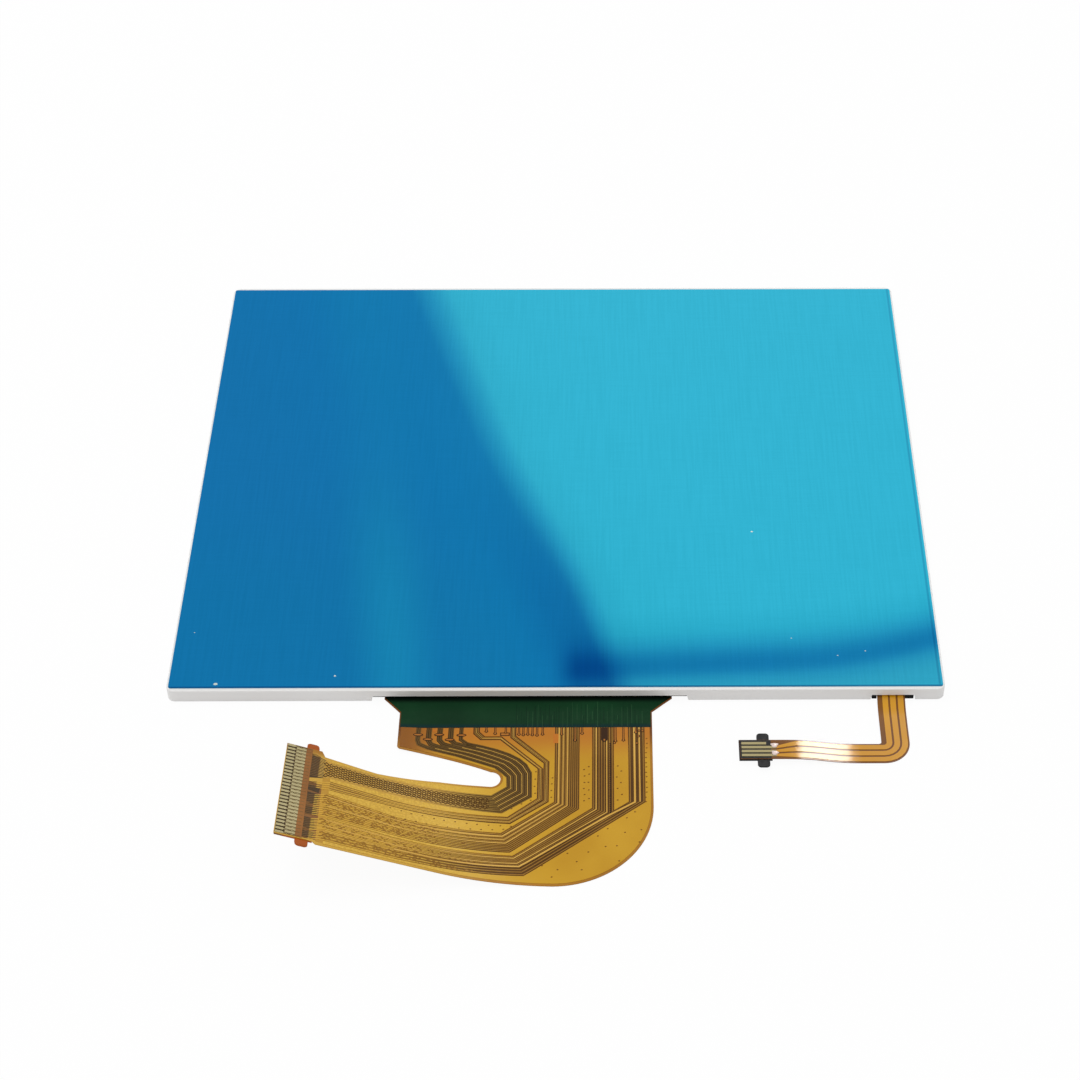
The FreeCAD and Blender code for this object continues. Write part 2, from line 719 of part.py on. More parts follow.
def nested_guide(body_share, turn, arm_x, root, middle, end, lead=()):
    """One route of a nested bundle: down the body, across at a slant, along the arm."""
    return list(lead) + [(across_body(body_share), across_arm(turn)),
                         (across_body(arm_x), across_arm(root)),
                         (across_body(0.014), across_arm(middle)),
                         (bundle_end, across_arm(end))]


def straight_lead(body_share):
    """The start of a route that runs straight down from the green mask."""
    return [(across_body(body_share), line_start)]


def slanting_lead(start, jog, body_share):
    """The start of a route that slants across the body before it runs straight down."""
    slant = across_body(body_share) - across_body(start)
    return [(across_body(start), line_start), (across_body(start), line_start - jog),
            (across_body(body_share), line_start - jog - slant)]


def looped_lead(start, body_share, drop):
    """The start of a route that swings round a row of pads before its slant."""
    swing = line_start - 1.3 - drop
    slant = across_body(body_share) - across_body(0.405)
    return [(across_body(start), line_start), (across_body(start), line_start - 0.6 - drop),
            (across_body(start + 0.025), swing), (across_body(0.405), swing),
            (across_body(body_share), swing - slant)]


def line_bundles():
    """Every bundle of signal lines: its two guides, its count and its first contact."""
    return [
        (nested_guide(0.558, 0.839, 0.443, 0.649, 0.705, 0.751, looped_lead(0.302, 0.558, 0.15)),
         nested_guide(0.5685, 0.831, 0.4453, 0.634, 0.69, 0.724, looped_lead(0.314, 0.5685, 0)), 2, 19),
        (nested_guide(0.581, 0.823, 0.4477, 0.62, 0.675, 0.697, slanting_lead(0.448, 1.25, 0.581)),
         nested_guide(0.591, 0.815, 0.45, 0.605, 0.66, 0.67, slanting_lead(0.458, 1.15, 0.591)), 2, 21),
        (nested_guide(0.624, 0.803, 0.42, 0.492, 0.52, 0.60, straight_lead(0.624)),
         nested_guide(0.708, 0.743, 0.452, 0.325, 0.325, 0.345, straight_lead(0.708)), 12, 27),
        (nested_guide(0.77, 0.742, 0.467, 0.27, 0.278, 0.31, straight_lead(0.77)),
         nested_guide(0.842, 0.69, 0.488, 0.182, 0.168, 0.2, straight_lead(0.842)), 8, 41),
        (nested_guide(0.911, 0.803, 0.492, 0.178, 0.14, 0.16, straight_lead(0.911)),
         nested_guide(0.963, 0.811, 0.506, 0.101, 0.06, 0.07, straight_lead(0.963)), 4, 49),
    ]


def corridor(first, last):
    """The ground that a bundle takes up, with its clearance, as a plan face."""
    side = size("line_width") / 2 + size("pour_clearance")
    sides = []
    for route, distance in ((first, -side), (last, side)):
        end_x, end_y = route[-1]
        sides.append(shifted_line(route + [(end_x - size("copper_margin"), end_y)], distance))
    return plan_face([laid(point) for point in sides[0] + sides[1][::-1]])


def laid_strips(routes, width, layer):
    """Lines of even width, cut from a layer of the main flex."""
    solids = []
    for route in routes:
        outline = [laid(point) for point in strip(route, width)]
        solids += layer.common(upright(plan_face(outline))).Solids
    return Part.makeCompound(solids)


def pair_routes():
    """The two lines of each differential pair and the guard line beside it."""
    inner, outer = pair_guides()
    spacing = size("line_width")
    routes = []
    for number in range(5):
        middle = route_between(inner, outer, number / 4)
        for index, shift in enumerate((-spacing, spacing, 2.6 * spacing)):
            if number == 4 and index == 2:
                continue
            routes.append(fanned(shifted_line(middle, shift), 2 + 3 * number + index))
    return routes


def make_conductors():
    layer = arm_slab(copper_low, copper_high)
    piece("pair_lines", laid_strips(pair_routes(), size("line_width"), layer), size("table_gap"))
    lines = []
    corridors = [corridor(*pair_guides())]
    for first, last, count, contact in line_bundles():
        lines += routed_bundle(first, last, count, contact)
        corridors.append(corridor(first, last))
    piece("signal_lines", laid_strips(lines, size("line_width") * 0.9, layer), size("table_gap"))
    make_ground_planes(layer, corridors)


# Ground planes: the copper that is left between the bundles, held in from the film's edge.
def make_ground_planes(layer, corridors):
    pour = main_outline().makeOffset2D(-size("copper_margin"))
    field = [laid((bundle_end, across_arm(1.5))), laid((bundle_end, across_arm(-0.5))),
             (sweep_reach, across_arm(-0.5)), (sweep_reach, line_start),
             (main_left - size("copper_margin"), line_start)]
    pour = pour.common(plan_face(field))
    for ground in corridors:
        pour = pour.cut(ground)
    solids = []
    for face in pour.Faces:
        if face.Area > size("smallest_pour"):
            solids += layer.common(upright(face)).Solids
    piece("ground_planes", Part.makeCompound(solids), size("table_gap"))


# Contact rows of the main flex: wide fingers, each with a narrow tail. The rear fingers sit half
# a pitch off the front ones, and the front tails pass between them.
def make_contacts():
    layer = arm_slab(copper_low, copper_high)
    tail_end = arm_tip + contact_field()
    front_start = arm_tip + size("contact_tip_gap")
    front_end = front_start + size("front_contact_length")
    rear_start = front_end + size("contact_row_gap")
    rear_end = rear_start + size("rear_contact_length")
    count = int(size("contact_count"))
    front = [finger(front_start, front_end, tail_end, contact_height(2 * index))
             for index in range(count)]
    rear = [finger(rear_start, rear_end, tail_end, contact_height(2 * index + 1))
            for index in range(count - 1)]
    for name, outlines in (("main_contacts_front", front), ("main_contacts_rear", rear)):
        solids = []
        for outline in outlines:
            solids += layer.common(upright(plan_face([laid(point) for point in outline]))).Solids
        piece(name, Part.makeCompound(solids), size("table_gap"))


def finger(start, end, tail_end, height):
    """Outline of one contact: a wide finger and its narrow tail."""
    wide = size("contact_width") / 2
    narrow = size("line_width") / 2
    upper = [(start, height + wide), (end, height + wide),
             (end, height + narrow), (tail_end, height + narrow)]
    lower = [(x, 2 * height - y) for x, y in upper]
    return lower + upper[::-1]


# Stiffener of the main flex: orange polyimide glued under the contacts, with an ear on each side
# that locates it in its socket.
def make_main_stiffener():
    ear_start = arm_tip + size("ear_setback")
    ear_end = ear_start + size("ear_length")
    outline = eared_outline(arm_tip, tongue_root, tongue_bottom, tongue_top, ear_start, ear_end,
                            size("ear_reach"))
    layer = arm_slab(-size("stiffener_thick"), 0.0)
    piece("main_stiffener", layer.common(upright(routed_face(outline, laid))), size("table_gap"))


def eared_outline(left, right, bottom, top, ear_start, ear_end, reach):
    """A tongue with a rounded ear on each side."""
    radius = size("ear_radius")
    bulge = radius * (1 - math.sqrt(0.5))
    route = [(left, bottom), (ear_start, bottom)]
    route += [(ear_start, bottom - reach + radius), ("arc", ear_start + bulge, bottom - reach + bulge),
              (ear_start + radius, bottom - reach), (ear_end - radius, bottom - reach),
              ("arc", ear_end - bulge, bottom - reach + bulge), (ear_end, bottom - reach + radius)]
    route += [(ear_end, bottom), (right, bottom), (right, top), (ear_end, top)]
    route += [(ear_end, top + reach - radius), ("arc", ear_end - bulge, top + reach - bulge),
              (ear_end - radius, top + reach), (ear_start + radius, top + reach),
              ("arc", ear_start + bulge, top + reach - bulge), (ear_start, top + reach - radius)]
    route += [(ear_start, top), (left, top)]
    return route


# Backlight flex: a narrow strip under the diodes, a branch that steps down through its notch, a
# rounded corner, and an arm that rises a little before its stiffened end.
branch_right = size("module_width") / 2 - size("backlight_inset")
branch_left = branch_right - size("branch_width")
strip_bottom = size("front_polariser_thick") + size("filter_glass_thick") + size("array_glass_thick")
strip_far = glass_end + size("led_strip_width")
backlight_bottom = wall - size("backlight_reach")
backlight_top = backlight_bottom + size("backlight_arm_width")
backlight_middle = (backlight_bottom + backlight_top) / 2
backlight_tip = branch_left - size("backlight_arm_length")
branch_step_end = glass_end - size("backlight_step_run")
backlight_neck = backlight_tip + size("backlight_stiffener_length") + size("contact_width")
lift_from = branch_left - size("lift_start")


def same(point):
    """A plan point that no bend moves."""
    return point


def backlight_slab(low, high):
    """A layer of the backlight flex, from the diode strip down to the table and along its arm."""
    step = [(strip_far - glass_end, 0)] + step_moves(size("backlight_step_run"), strip_bottom)
    near = curved_slab(lambda along, up: Vector(-sweep_reach, strip_far - along, up), (0.0, strip_bottom),
                       step, low, high, Vector(2 * sweep_reach, 0, 0))
    flat = sweep_reach - lift_from
    rise = [(turned, -turn) for turned, turn in step_moves(size("lift_run"), size("lift_height"))]
    far = curved_slab(lambda along, up: Vector(sweep_reach - along, branch_step_end - sweep_reach, up),
                      (0.0, 0.0), [(flat, 0)] + rise + [(sweep_reach, 0)], low, high,
                      Vector(0, sweep_reach, 0))
    return near.fuse(far).removeSplitter()


def backlight_outline():
    corner = size("backlight_corner")
    diagonal = corner * (1 - math.sqrt(0.5))
    inner = size("inner_corner")
    fold = inner * (1 - math.sqrt(0.5))
    strip_left = branch_right - size("led_strip_length")
    route = [
        (strip_left, strip_far), (strip_left, glass_end), (branch_left, glass_end),
        (branch_left, backlight_top + inner), ("arc", branch_left - fold, backlight_top + fold),
        (branch_left - inner, backlight_top), (backlight_tip, backlight_top),
        (backlight_tip, backlight_bottom), (branch_right - corner, backlight_bottom),
        ("arc", branch_right - diagonal, backlight_bottom + diagonal),
        (branch_right, backlight_bottom + corner), (branch_right, strip_far),
    ]
    return routed_face(route, same)


def backlight_contact_height(number):
    """Y of one of the backlight contacts, counted from the top."""
    highest = backlight_middle + (size("backlight_contact_count") - 1) * size("contact_spacing") / 2
    return highest - number * size("contact_spacing")


def wide_line(number):
    """Centre line of one wide conductor, counted from the outer edge of the corner."""
    inset = size("wide_line_inset") + number * size("wide_line_spacing")
    radius = size("backlight_corner") - inset
    centre = (branch_right - size("backlight_corner"), backlight_bottom + size("backlight_corner"))
    route = [(branch_right - inset, glass_end - 0.3)]
    for step in range(7):
        angle = -math.radians(15 * step)
        route.append((centre[0] + radius * math.cos(angle), centre[1] + radius * math.sin(angle)))
    return route + [(backlight_neck + size("taper_length"), backlight_bottom + inset)]


def wide_outline(number):
    """Outline of one wide conductor, tapered at its end to the width of a contact."""
    route = wide_line(number)
    half = size("wide_line_width") / 2
    end = backlight_contact_height(int(size("backlight_contact_count")) - 1 - number)
    narrow = size("contact_width") / 2
    taper = [(backlight_neck, end - narrow), (backlight_neck, end + narrow)]
    return shifted_line(route, half) + taper + shifted_line(route, -half)[::-1]


def make_backlight_flex():
    lift = size("table_gap")
    film = backlight_slab(0.0, size("backlight_thick"))
    piece("backlight_flex", film.common(upright(backlight_outline())).removeSplitter(), lift)
    layer = backlight_slab(size("backlight_thick"), size("backlight_thick") + size("copper_thick"))
    solids = []
    for number in range(3):
        solids += layer.common(upright(plan_face(wide_outline(number)))).Solids
    piece("backlight_conductors", Part.makeCompound(solids), lift)
    make_backlight_contacts(layer, lift)
    make_backlight_stiffener(lift)
    make_backlight_joints()


def make_backlight_contacts(layer, lift):
    start = backlight_tip + size("backlight_contact_tip_gap")
    end = start + size("backlight_contact_length")
    solids = []
    for number in range(int(size("backlight_contact_count"))):
        height = backlight_contact_height(number)
        reach = end + size("contact_width") if number == 0 else backlight_neck
        outline = strip([(start, height), (reach, height)], size("contact_width"))
        solids += layer.common(upright(plan_face(outline))).Solids
    piece("backlight_contacts", Part.makeCompound(solids), lift)


def make_backlight_stiffener(lift):
    left = backlight_tip - 0.1
    right = left + size("backlight_stiffener_length")
    ear_start = left + size("backlight_ear_setback")
    ear_end = ear_start + size("backlight_ear_length")
    outline = eared_outline(left, right, backlight_bottom - 0.05, backlight_top + 0.05, ear_start, ear_end,
                            size("backlight_ear_reach"))
    layer = backlight_slab(-size("stiffener_thick"), 0.0)
    piece("backlight_stiffener", layer.common(upright(routed_face(outline, same))), lift)


# Two small solder joints beside the contacts, on the raised and level end of the arm.
def make_backlight_joints():
    base = "sizes.table_gap + sizes.lift_height + sizes.backlight_thick + sizes.copper_thick"
    column = "sizes.module_width / 2 - sizes.backlight_inset - sizes.branch_width"
    column += " - sizes.backlight_arm_length + sizes.backlight_stiffener_length + 0.15"
    middle = "-sizes.module_depth / 2 - sizes.backlight_reach + sizes.backlight_arm_width / 2"
    joints = []
    for index, share in enumerate((1, -1)):
        joint = doc.addObject("Part::Cone", "joint_%d" % index)
        joint.setExpression("Radius1", "sizes.joint_radius")
        joint.setExpression("Radius2", "0.7 * sizes.joint_radius")
        joint.setExpression("Height", "sizes.joint_height")
        joint.setExpression("Placement.Base.x", column)
        joint.setExpression("Placement.Base.y", "%s + %d * sizes.contact_spacing" % (middle, share))
        joint.setExpression("Placement.Base.z", base)
        joints.append(joint)
    group("backlight_joints", joints)


nodes = [
    "front_polariser", "rear_polariser", "colour_filter_glass", "array_glass", "driver_chip", "rim_tape",
    "backlight_frame", "light_guide", "upper_prism_sheet", "lower_prism_sheet", "diffuser_sheet",
    "reflector_sheet", "back_film", "led_row", "led_windows", "main_flex", "green_mask", "pair_lines",
    "signal_lines", "ground_planes", "main_contacts_front", "main_contacts_rear", "main_stiffener",
    "backlight_flex", "backlight_conductors", "backlight_contacts", "backlight_stiffener",
    "backlight_joints",
]

make_glass_cell()
make_driver_chip()
make_rim_tape()
make_frame()
make_light_guide_stack()
make_led_row()
make_main_flex()
make_green_mask()
make_conductors()
make_contacts()
make_main_stiffener()
make_backlight_flex()
doc.recompute()

for item in doc.Objects:
    if "Invalid" in item.State or "Error" in item.State:
        raise RuntimeError("%s is not sound: %s" % (item.Name, item.State))
for name in nodes:
    shape = doc.getObjectsByLabel(name)[0].Shape
    if shape.isNull() or not shape.isValid() or not shape.Solids:
        raise RuntimeError("%s has no sound solid" % name)
    print("%-22s %3d solids %10.4f mm3" % (name, len(shape.Solids), shape.Volume))
for name in nodes:
    doc.getObjectsByLabel(name)[0].Shape.exportStep("parts/%s.step" % name)
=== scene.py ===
import bpy
import math
import random
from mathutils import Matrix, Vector


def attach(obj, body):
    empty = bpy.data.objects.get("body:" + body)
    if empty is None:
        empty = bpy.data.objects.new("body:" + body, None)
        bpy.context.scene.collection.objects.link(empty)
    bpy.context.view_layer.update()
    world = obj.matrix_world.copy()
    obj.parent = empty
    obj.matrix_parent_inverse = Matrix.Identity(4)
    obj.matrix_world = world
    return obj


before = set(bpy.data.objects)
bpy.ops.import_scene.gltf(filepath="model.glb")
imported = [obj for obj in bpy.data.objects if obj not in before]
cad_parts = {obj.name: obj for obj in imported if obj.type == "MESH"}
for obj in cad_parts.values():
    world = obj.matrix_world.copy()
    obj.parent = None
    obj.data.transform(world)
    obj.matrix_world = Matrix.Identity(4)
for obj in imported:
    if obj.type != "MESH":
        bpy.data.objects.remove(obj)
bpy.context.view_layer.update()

# Camera: it stands in front of the flexes and looks down at the back of the module at about
# 44 degrees. The shift holds the framing, with the module a little left of the middle.
view = bpy.data.cameras.new("photo_view")
view.sensor_width = 36.0
view.lens = 81.9
view.shift_x = -0.074
view.clip_start = 0.01
view.clip_end = 20.0
camera = bpy.data.objects.new("photo_view", view)
camera.location = (0.0050235, -0.1959401, 0.1803231)
camera.rotation_euler = (0.8034, -0.0019, -0.0058)
bpy.context.scene.collection.objects.link(camera)
bpy.context.scene.camera = camera
bpy.context.scene.view_settings.view_transform = "Standard"


# Studio: a white room, one broad soft lamp above, and a pale floor that stays white to the camera
# and keeps a faint shadow of the object.
def add(tree, kind, values=None, **settings):
    """One node. A value that is another node's socket is linked, and any other is set."""
    node = tree.nodes.new("ShaderNode" + kind)
    for setting, value in settings.items():
        setattr(node, setting, value)
    for socket, value in (values or {}).items():
        if isinstance(value, bpy.types.NodeSocket):
            tree.links.new(value, node.inputs[socket])
        else:
            node.inputs[socket].default_value = value
    return node


def maths(tree, operation, first, second=0.0, third=0.0):
    """The result of one sum."""
    return add(tree, "Math", {0: first, 1: second, 2: third}, operation=operation).outputs[0]


def mix(tree, share, first, second, blend="MIX"):
    """One colour over another."""
    return add(tree, "MixRGB", {0: share, 1: first, 2: second}, blend_type=blend).outputs[0]


def seen_directly(tree):
    """1 for what the camera sees itself, or through glass or in a reflection."""
    path = add(tree, "LightPath").outputs
    glossy = maths(tree, "MAXIMUM", path["Is Camera Ray"], path["Is Glossy Ray"])
    return maths(tree, "MAXIMUM", glossy, path["Is Transmission Ray"])


room = bpy.data.worlds.new("white_room")
bpy.context.scene.world = room
room.use_nodes = True
tree = room.node_tree
tree.nodes.clear()
room_light = mix(tree, seen_directly(tree), (0.62, 0.62, 0.62, 1), (1, 1, 1, 1))
room_back = add(tree, "Background", {"Color": room_light, "Strength": 1.0})
add(tree, "OutputWorld", {"Surface": room_back.outputs[0]})

softbox = bpy.data.lights.new("softbox", "AREA")
softbox.shape = "RECTANGLE"
softbox.size = 0.7
softbox.size_y = 0.5
softbox.energy = 3.2
softbox_stand = bpy.data.objects.new("softbox", softbox)
softbox_stand.location = (-0.25, 0.1, 0.85)
softbox_stand.rotation_euler = Vector((-0.25, 0.13, 0.85)).to_track_quat("Z", "Y").to_euler()
softbox_stand.visible_glossy = False
bpy.context.scene.collection.objects.link(softbox_stand)

floor_mesh = bpy.data.meshes.new("floor")
floor_mesh.from_pydata([(-4, -4, 0), (4, -4, 0), (4, 4, 0), (-4, 4, 0)], [], [(0, 1, 2, 3)])
floor = bpy.data.objects.new("floor", floor_mesh)
bpy.context.scene.collection.objects.link(floor)
floor_paint = bpy.data.materials.new("pale_floor")
floor_paint.use_nodes = True
tree = floor_paint.node_tree
tree.nodes.clear()
matt = add(tree, "BsdfDiffuse", {"Color": (0.93, 0.93, 0.93, 1)})
white = add(tree, "Emission", {"Color": (1, 1, 1, 1), "Strength": 1.0})
share = maths(tree, "MULTIPLY", seen_directly(tree), 0.95)
both = add(tree, "MixShader", {0: share, 1: matt.outputs[0], 2: white.outputs[0]})
add(tree, "OutputMaterial", {"Surface": both.outputs[0]})
floor_mesh.materials.append(floor_paint)


# Studio wall: what the blue film mirrors. Its left part is deep blue with a paler haze down its
# middle, its right part is bright, and a dark band crosses it low down.
def paint(red, green, blue):
    """A colour from its 0 to 255 screen values, in the linear form that shaders take."""
    linear = []
    for part in (red, green, blue):
        share = part / 255
        linear.append(share / 12.92 if share <= 0.04045 else ((share + 0.055) / 1.055) ** 2.4)
    return (*linear, 1.0)


def studio_card(name, corners):
    """A flat card that only shows in reflections, and its empty node tree."""
    mesh = bpy.data.meshes.new(name)
    mesh.from_pydata(corners, [], [tuple(range(len(corners)))])
    card = bpy.data.objects.new(name, mesh)
    bpy.context.scene.collection.objects.link(card)
    card.visible_diffuse = False
    card.visible_camera = False
    card.visible_shadow = False
    cover = bpy.data.materials.new(name)
    cover.use_nodes = True
    cover.node_tree.nodes.clear()
    mesh.materials.append(cover)
    return cover.node_tree


def ramp(tree, value, stops):
    """A colour ramp from places between 0 and 1 and their colours."""
    node = add(tree, "ValToRGB", {"Fac": value})
    band = node.color_ramp
    for place, colour in stops[2:]:
        band.elements.new(place)
    for element, (place, colour) in zip(band.elements, sorted(stops)):
        element.position = place
        element.color = colour
    return node.outputs["Color"]


def span(tree, value, low, high, start=0.0, end=1.0):
    """The value between low and high, as a smooth share between start and end."""
    return add(tree, "MapRange", {"Value": value, "From Min": low, "From Max": high, "To Min": start,
                                  "To Max": end}, interpolation_type="SMOOTHSTEP").outputs[0]


def position(tree):
    """X, Y and Z of a point of the surface, in metres in the frame of the object."""
    return add(tree, "SeparateXYZ", {0: add(tree, "TexCoord").outputs["Object"]}).outputs


def mirrored(red, green, blue):
    """What the wall gives off where the film is to show this colour."""
    film = paint(48, 180, 210)
    return (*[shown / own for shown, own in zip(paint(red, green, blue)[:3], film)], 1.0)


edge_lean, edge_left, edge_right = -0.282, -0.477, -0.207
haze_middle, haze_reach = -0.145, 0.038
band_top, band_foot = 1.047, 1.147
tree = studio_card("studio_wall", [(-0.7, 1.0, 0.6), (0.27, 1.0, 0.6), (0.27, 1.0, 1.25), (-0.7, 1.0, 1.25)])
place = position(tree)
across = maths(tree, "MULTIPLY_ADD", place["Z"], edge_lean, place["X"])
across = add(tree, "MapRange", {"Value": across, "From Min": edge_left, "From Max": edge_right}).outputs[0]
across = maths(tree, "ADD", across, span(tree, place["Z"], 0.87, 1.04, 0.03, -0.027))
far_wall = ramp(tree, across, [
    (0.0, mirrored(20, 112, 170)), (0.3, mirrored(18, 114, 172)), (0.42, mirrored(17, 117, 173)),
    (0.52, mirrored(18, 119, 174)), (0.575, mirrored(19, 120, 174)), (0.622, mirrored(33, 148, 189)),
    (0.665, mirrored(45, 173, 203)), (0.74, mirrored(47, 178, 208)), (0.96, mirrored(48, 180, 210)),
])
near_wall = ramp(tree, across, [
    (0.0, mirrored(18, 114, 168)), (0.3, mirrored(18, 117, 170)), (0.42, mirrored(16, 117, 172)),
    (0.52, mirrored(14, 108, 165)), (0.595, mirrored(15, 108, 165)), (0.63, mirrored(31, 146, 187)),
    (0.665, mirrored(42, 170, 200)), (0.74, mirrored(45, 177, 206)), (0.96, mirrored(47, 179, 209)),
])
wall = mix(tree, span(tree, place["Z"], 0.9, 1.06), far_wall, near_wall)
off_centre = maths(tree, "ABSOLUTE", maths(tree, "SUBTRACT", place["X"], haze_middle))
haze = maths(tree, "MULTIPLY", span(tree, off_centre, 0.0, haze_reach, 1, 0),
             span(tree, place["Z"], 0.86, 1.08, 0.15, 0.8))
wall = mix(tree, haze, wall, mirrored(23, 133, 178))
bow = maths(tree, "MAXIMUM", maths(tree, "SUBTRACT", place["X"], 0.13), 0.0)
along = maths(tree, "MULTIPLY_ADD", place["X"], 0.05, place["Z"])
along = maths(tree, "MULTIPLY_ADD", maths(tree, "POWER", bow, 2.0), 1.6, along)
along = add(tree, "MapRange", {"Value": along, "From Min": band_top, "From Max": band_foot}).outputs[0]
band = ramp(tree, along, [
    (0.0, mirrored(48, 180, 210)), (0.22, mirrored(42, 172, 203)), (0.36, mirrored(34, 152, 192)),
    (0.46, mirrored(23, 128, 178)), (0.55, mirrored(17, 116, 170)), (0.63, mirrored(20, 122, 175)),
    (0.71, mirrored(36, 148, 188)), (0.84, mirrored(45, 160, 192)), (1.0, mirrored(48, 165, 196)),
])
wall = mix(tree, span(tree, place["X"], -0.036, -0.014), wall, band, "MULTIPLY")
light = add(tree, "Emission", {"Color": wall, "Strength": 1.0})
add(tree, "OutputMaterial", {"Surface": light.outputs[0]})


# Bright card: a lit window to the right, which only the sloping part of the backlight flex
# mirrors into the camera.
tree = studio_card("bright_card", [(0.3, 1.02, 0.88), (0.68, 1.02, 0.88), (0.68, 1.02, 1.22),
                                   (0.3, 1.02, 1.22)])
light = add(tree, "Emission", {"Color": (1, 0.98, 0.94, 1), "Strength": 32.0})
add(tree, "OutputMaterial", {"Surface": light.outputs[0]})


# Glass cell: two sheets of thin glass with a polariser on either face, a driver chip bonded to the
# ledge of the rear sheet, and black tape round the rim. It is laid into the frame face down.
def new_finish(name, **values):
    """A material whose shader starts with these plain values."""
    material = bpy.data.materials.new(name)
    material.use_nodes = True
    tree = material.node_tree
    tree.nodes.clear()
    shader = add(tree, "BsdfPrincipled", {key.replace("_", " "): value for key, value in values.items()})
    add(tree, "OutputMaterial", {"Surface": shader.outputs[0]})
    return material, tree, shader


def wire(tree, shader, **sockets):
    """Links outputs to the shader's inputs of these names."""
    for name, output in sockets.items():
        tree.links.new(output, shader.inputs[name.replace("_", " ")])


def dress(name, material):
    """Gives a carried-over piece its finish."""
    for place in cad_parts[name].material_slots:
        place.material = material


def new_group(name, inputs, outputs):
    """An empty node group with sockets of these names and kinds, and the sockets inside it."""
    group = bpy.data.node_groups.new(name, "ShaderNodeTree")
    for in_out, sockets in (("INPUT", inputs), ("OUTPUT", outputs)):
        for label, kind in sockets.items():
            group.interface.new_socket(label, in_out=in_out, socket_type="NodeSocket" + kind)
    return group, group.nodes.new("NodeGroupInput").outputs, group.nodes.new("NodeGroupOutput").inputs


def use(tree, group, **values):
    """Places a group in a material with its inputs set, and gives its outputs."""
    node = tree.nodes.new("ShaderNodeGroup")
    node.node_tree = group
    for label, value in values.items():
        node.inputs[label].default_value = value
    return node.outputs


fine_grain, start, end = new_group(
    "fine_grain",
    {"Fineness": "Float", "Dark": "Color", "Light": "Color", "Gloss": "Float", "Dullness": "Float"},
    {"Tint": "Color", "Roughness": "Float", "Cloud": "Float", "Fine": "Float", "Weave": "Float"})
place = add(fine_grain, "TexCoord").outputs["Object"]
cloud = add(fine_grain, "TexNoise", {"Vector": place, "Scale": 120.0, "Detail": 3.0}).outputs["Fac"]
fine = add(fine_grain, "TexNoise", {"Vector": place, "Scale": start["Fineness"],
                                    "Detail": 2.0}).outputs["Fac"]
cells = add(fine_grain, "TexVoronoi", {"Vector": place, "Scale": start["Fineness"]}).outputs["Distance"]
tint = mix(fine_grain, span(fine_grain, cloud, 0.3, 0.7), start["Dark"], start["Light"])
rough = span(fine_grain, fine, 0.3, 0.7, start["Gloss"], start["Dullness"])
for label, output in (("Tint", tint), ("Roughness", rough), ("Cloud", cloud), ("Fine", fine),
                      ("Weave", cells)):
    fine_grain.links.new(output, end[label])


def grained_finish(name, dark, light, gloss=(0.3, 0.45), fineness=2500.0, relief=0.2, **values):
    """A finish whose tint drifts between two colours and whose gloss breaks up finely."""
    values.setdefault("Specular_IOR_Level", 0.08)
    material, tree, shader = new_finish(name, **values)
    grain = use(tree, fine_grain, Fineness=fineness, Dark=paint(*dark), Light=paint(*light), Gloss=gloss[0],
                Dullness=gloss[1])
    bump = add(tree, "Bump", {"Strength": relief, "Distance": 0.00002, "Height": grain["Fine"]})
    wire(tree, shader, Base_Color=grain["Tint"], Roughness=grain["Roughness"], Normal=bump.outputs[0])
    return material


def clear_finish(name, tint, rough, *pieces):
    """Puts a see-through finish with a faint drift in its tint on these pieces."""
    material, tree, shader = new_finish(name, Transmission_Weight=0.85, IOR=1.5, Roughness=rough)
    grain = use(tree, fine_grain, Fineness=600.0)
    wire(tree, shader, Base_Color=mix(tree, grain["Cloud"], paint(*tint), paint(240, 245, 244)))
    for piece in pieces:
        dress(piece, material)


dress("front_polariser", grained_finish("front_polariser", (14, 14, 17), (18, 18, 21), fineness=1500.0,
                                        Specular_IOR_Level=0.6, Coat_Weight=0.5, Coat_Roughness=0.05))
dress("rear_polariser", grained_finish("rear_polariser", (104, 106, 108), (114, 116, 118), fineness=1500.0))
dress("driver_chip", grained_finish("driver_chip", (46, 46, 54), (58, 58, 66), fineness=5000.0, Metallic=0.4))
dress("rim_tape", grained_finish("rim_tape", (10, 10, 11), (18, 18, 19), fineness=3500.0))
clear_finish("cell_glass", (206, 222, 216), 0.03, "colour_filter_glass", "array_glass")


# Backlight stack: a clear moulded light guide over a silvery reflector, with a diffuser and two
# prism sheets on top, and a row of white diodes with yellow phosphor along one edge.
dress("diffuser_sheet", grained_finish("diffuser_sheet", (214, 218, 220), (226, 230, 232), fineness=3000.0))
dress("reflector_sheet", grained_finish("reflector_sheet", (226, 227, 232), (238, 239, 243), fineness=800.0,
                                        Metallic=0.5))
dress("led_row", grained_finish("led_row", (226, 226, 220), (238, 238, 232), fineness=4000.0))
dress("led_windows", grained_finish("led_windows", (216, 190, 62), (228, 204, 78), fineness=6000.0))
clear_finish("light_guide_acrylic", (226, 236, 236), 0.05, "light_guide")
clear_finish("prism_film", (214, 220, 224), 0.25, "upper_prism_sheet", "lower_prism_sheet")


# Frame: white polycarbonate, injection moulded, with a satin skin whose white drifts a little
# from place to place.
white_frame, tree, shader = new_finish("white_frame", Roughness=0.42, Specular_IOR_Level=0.35)
place = add(tree, "TexCoord").outputs["Object"]
grain = add(tree, "TexNoise", {"Vector": place, "Scale": 900.0, "Detail": 4.0}).outputs["Fac"]
cloud = add(tree, "TexNoise", {"Vector": place, "Scale": 60.0, "Detail": 2.0}).outputs["Fac"]
tint = mix(tree, cloud, paint(228, 226, 224), paint(240, 239, 238))
bump = add(tree, "Bump", {"Strength": 0.15, "Distance": 0.00002, "Height": grain})
wire(tree, shader, Base_Color=tint, Normal=bump.outputs[0])
dress("backlight_frame", white_frame)
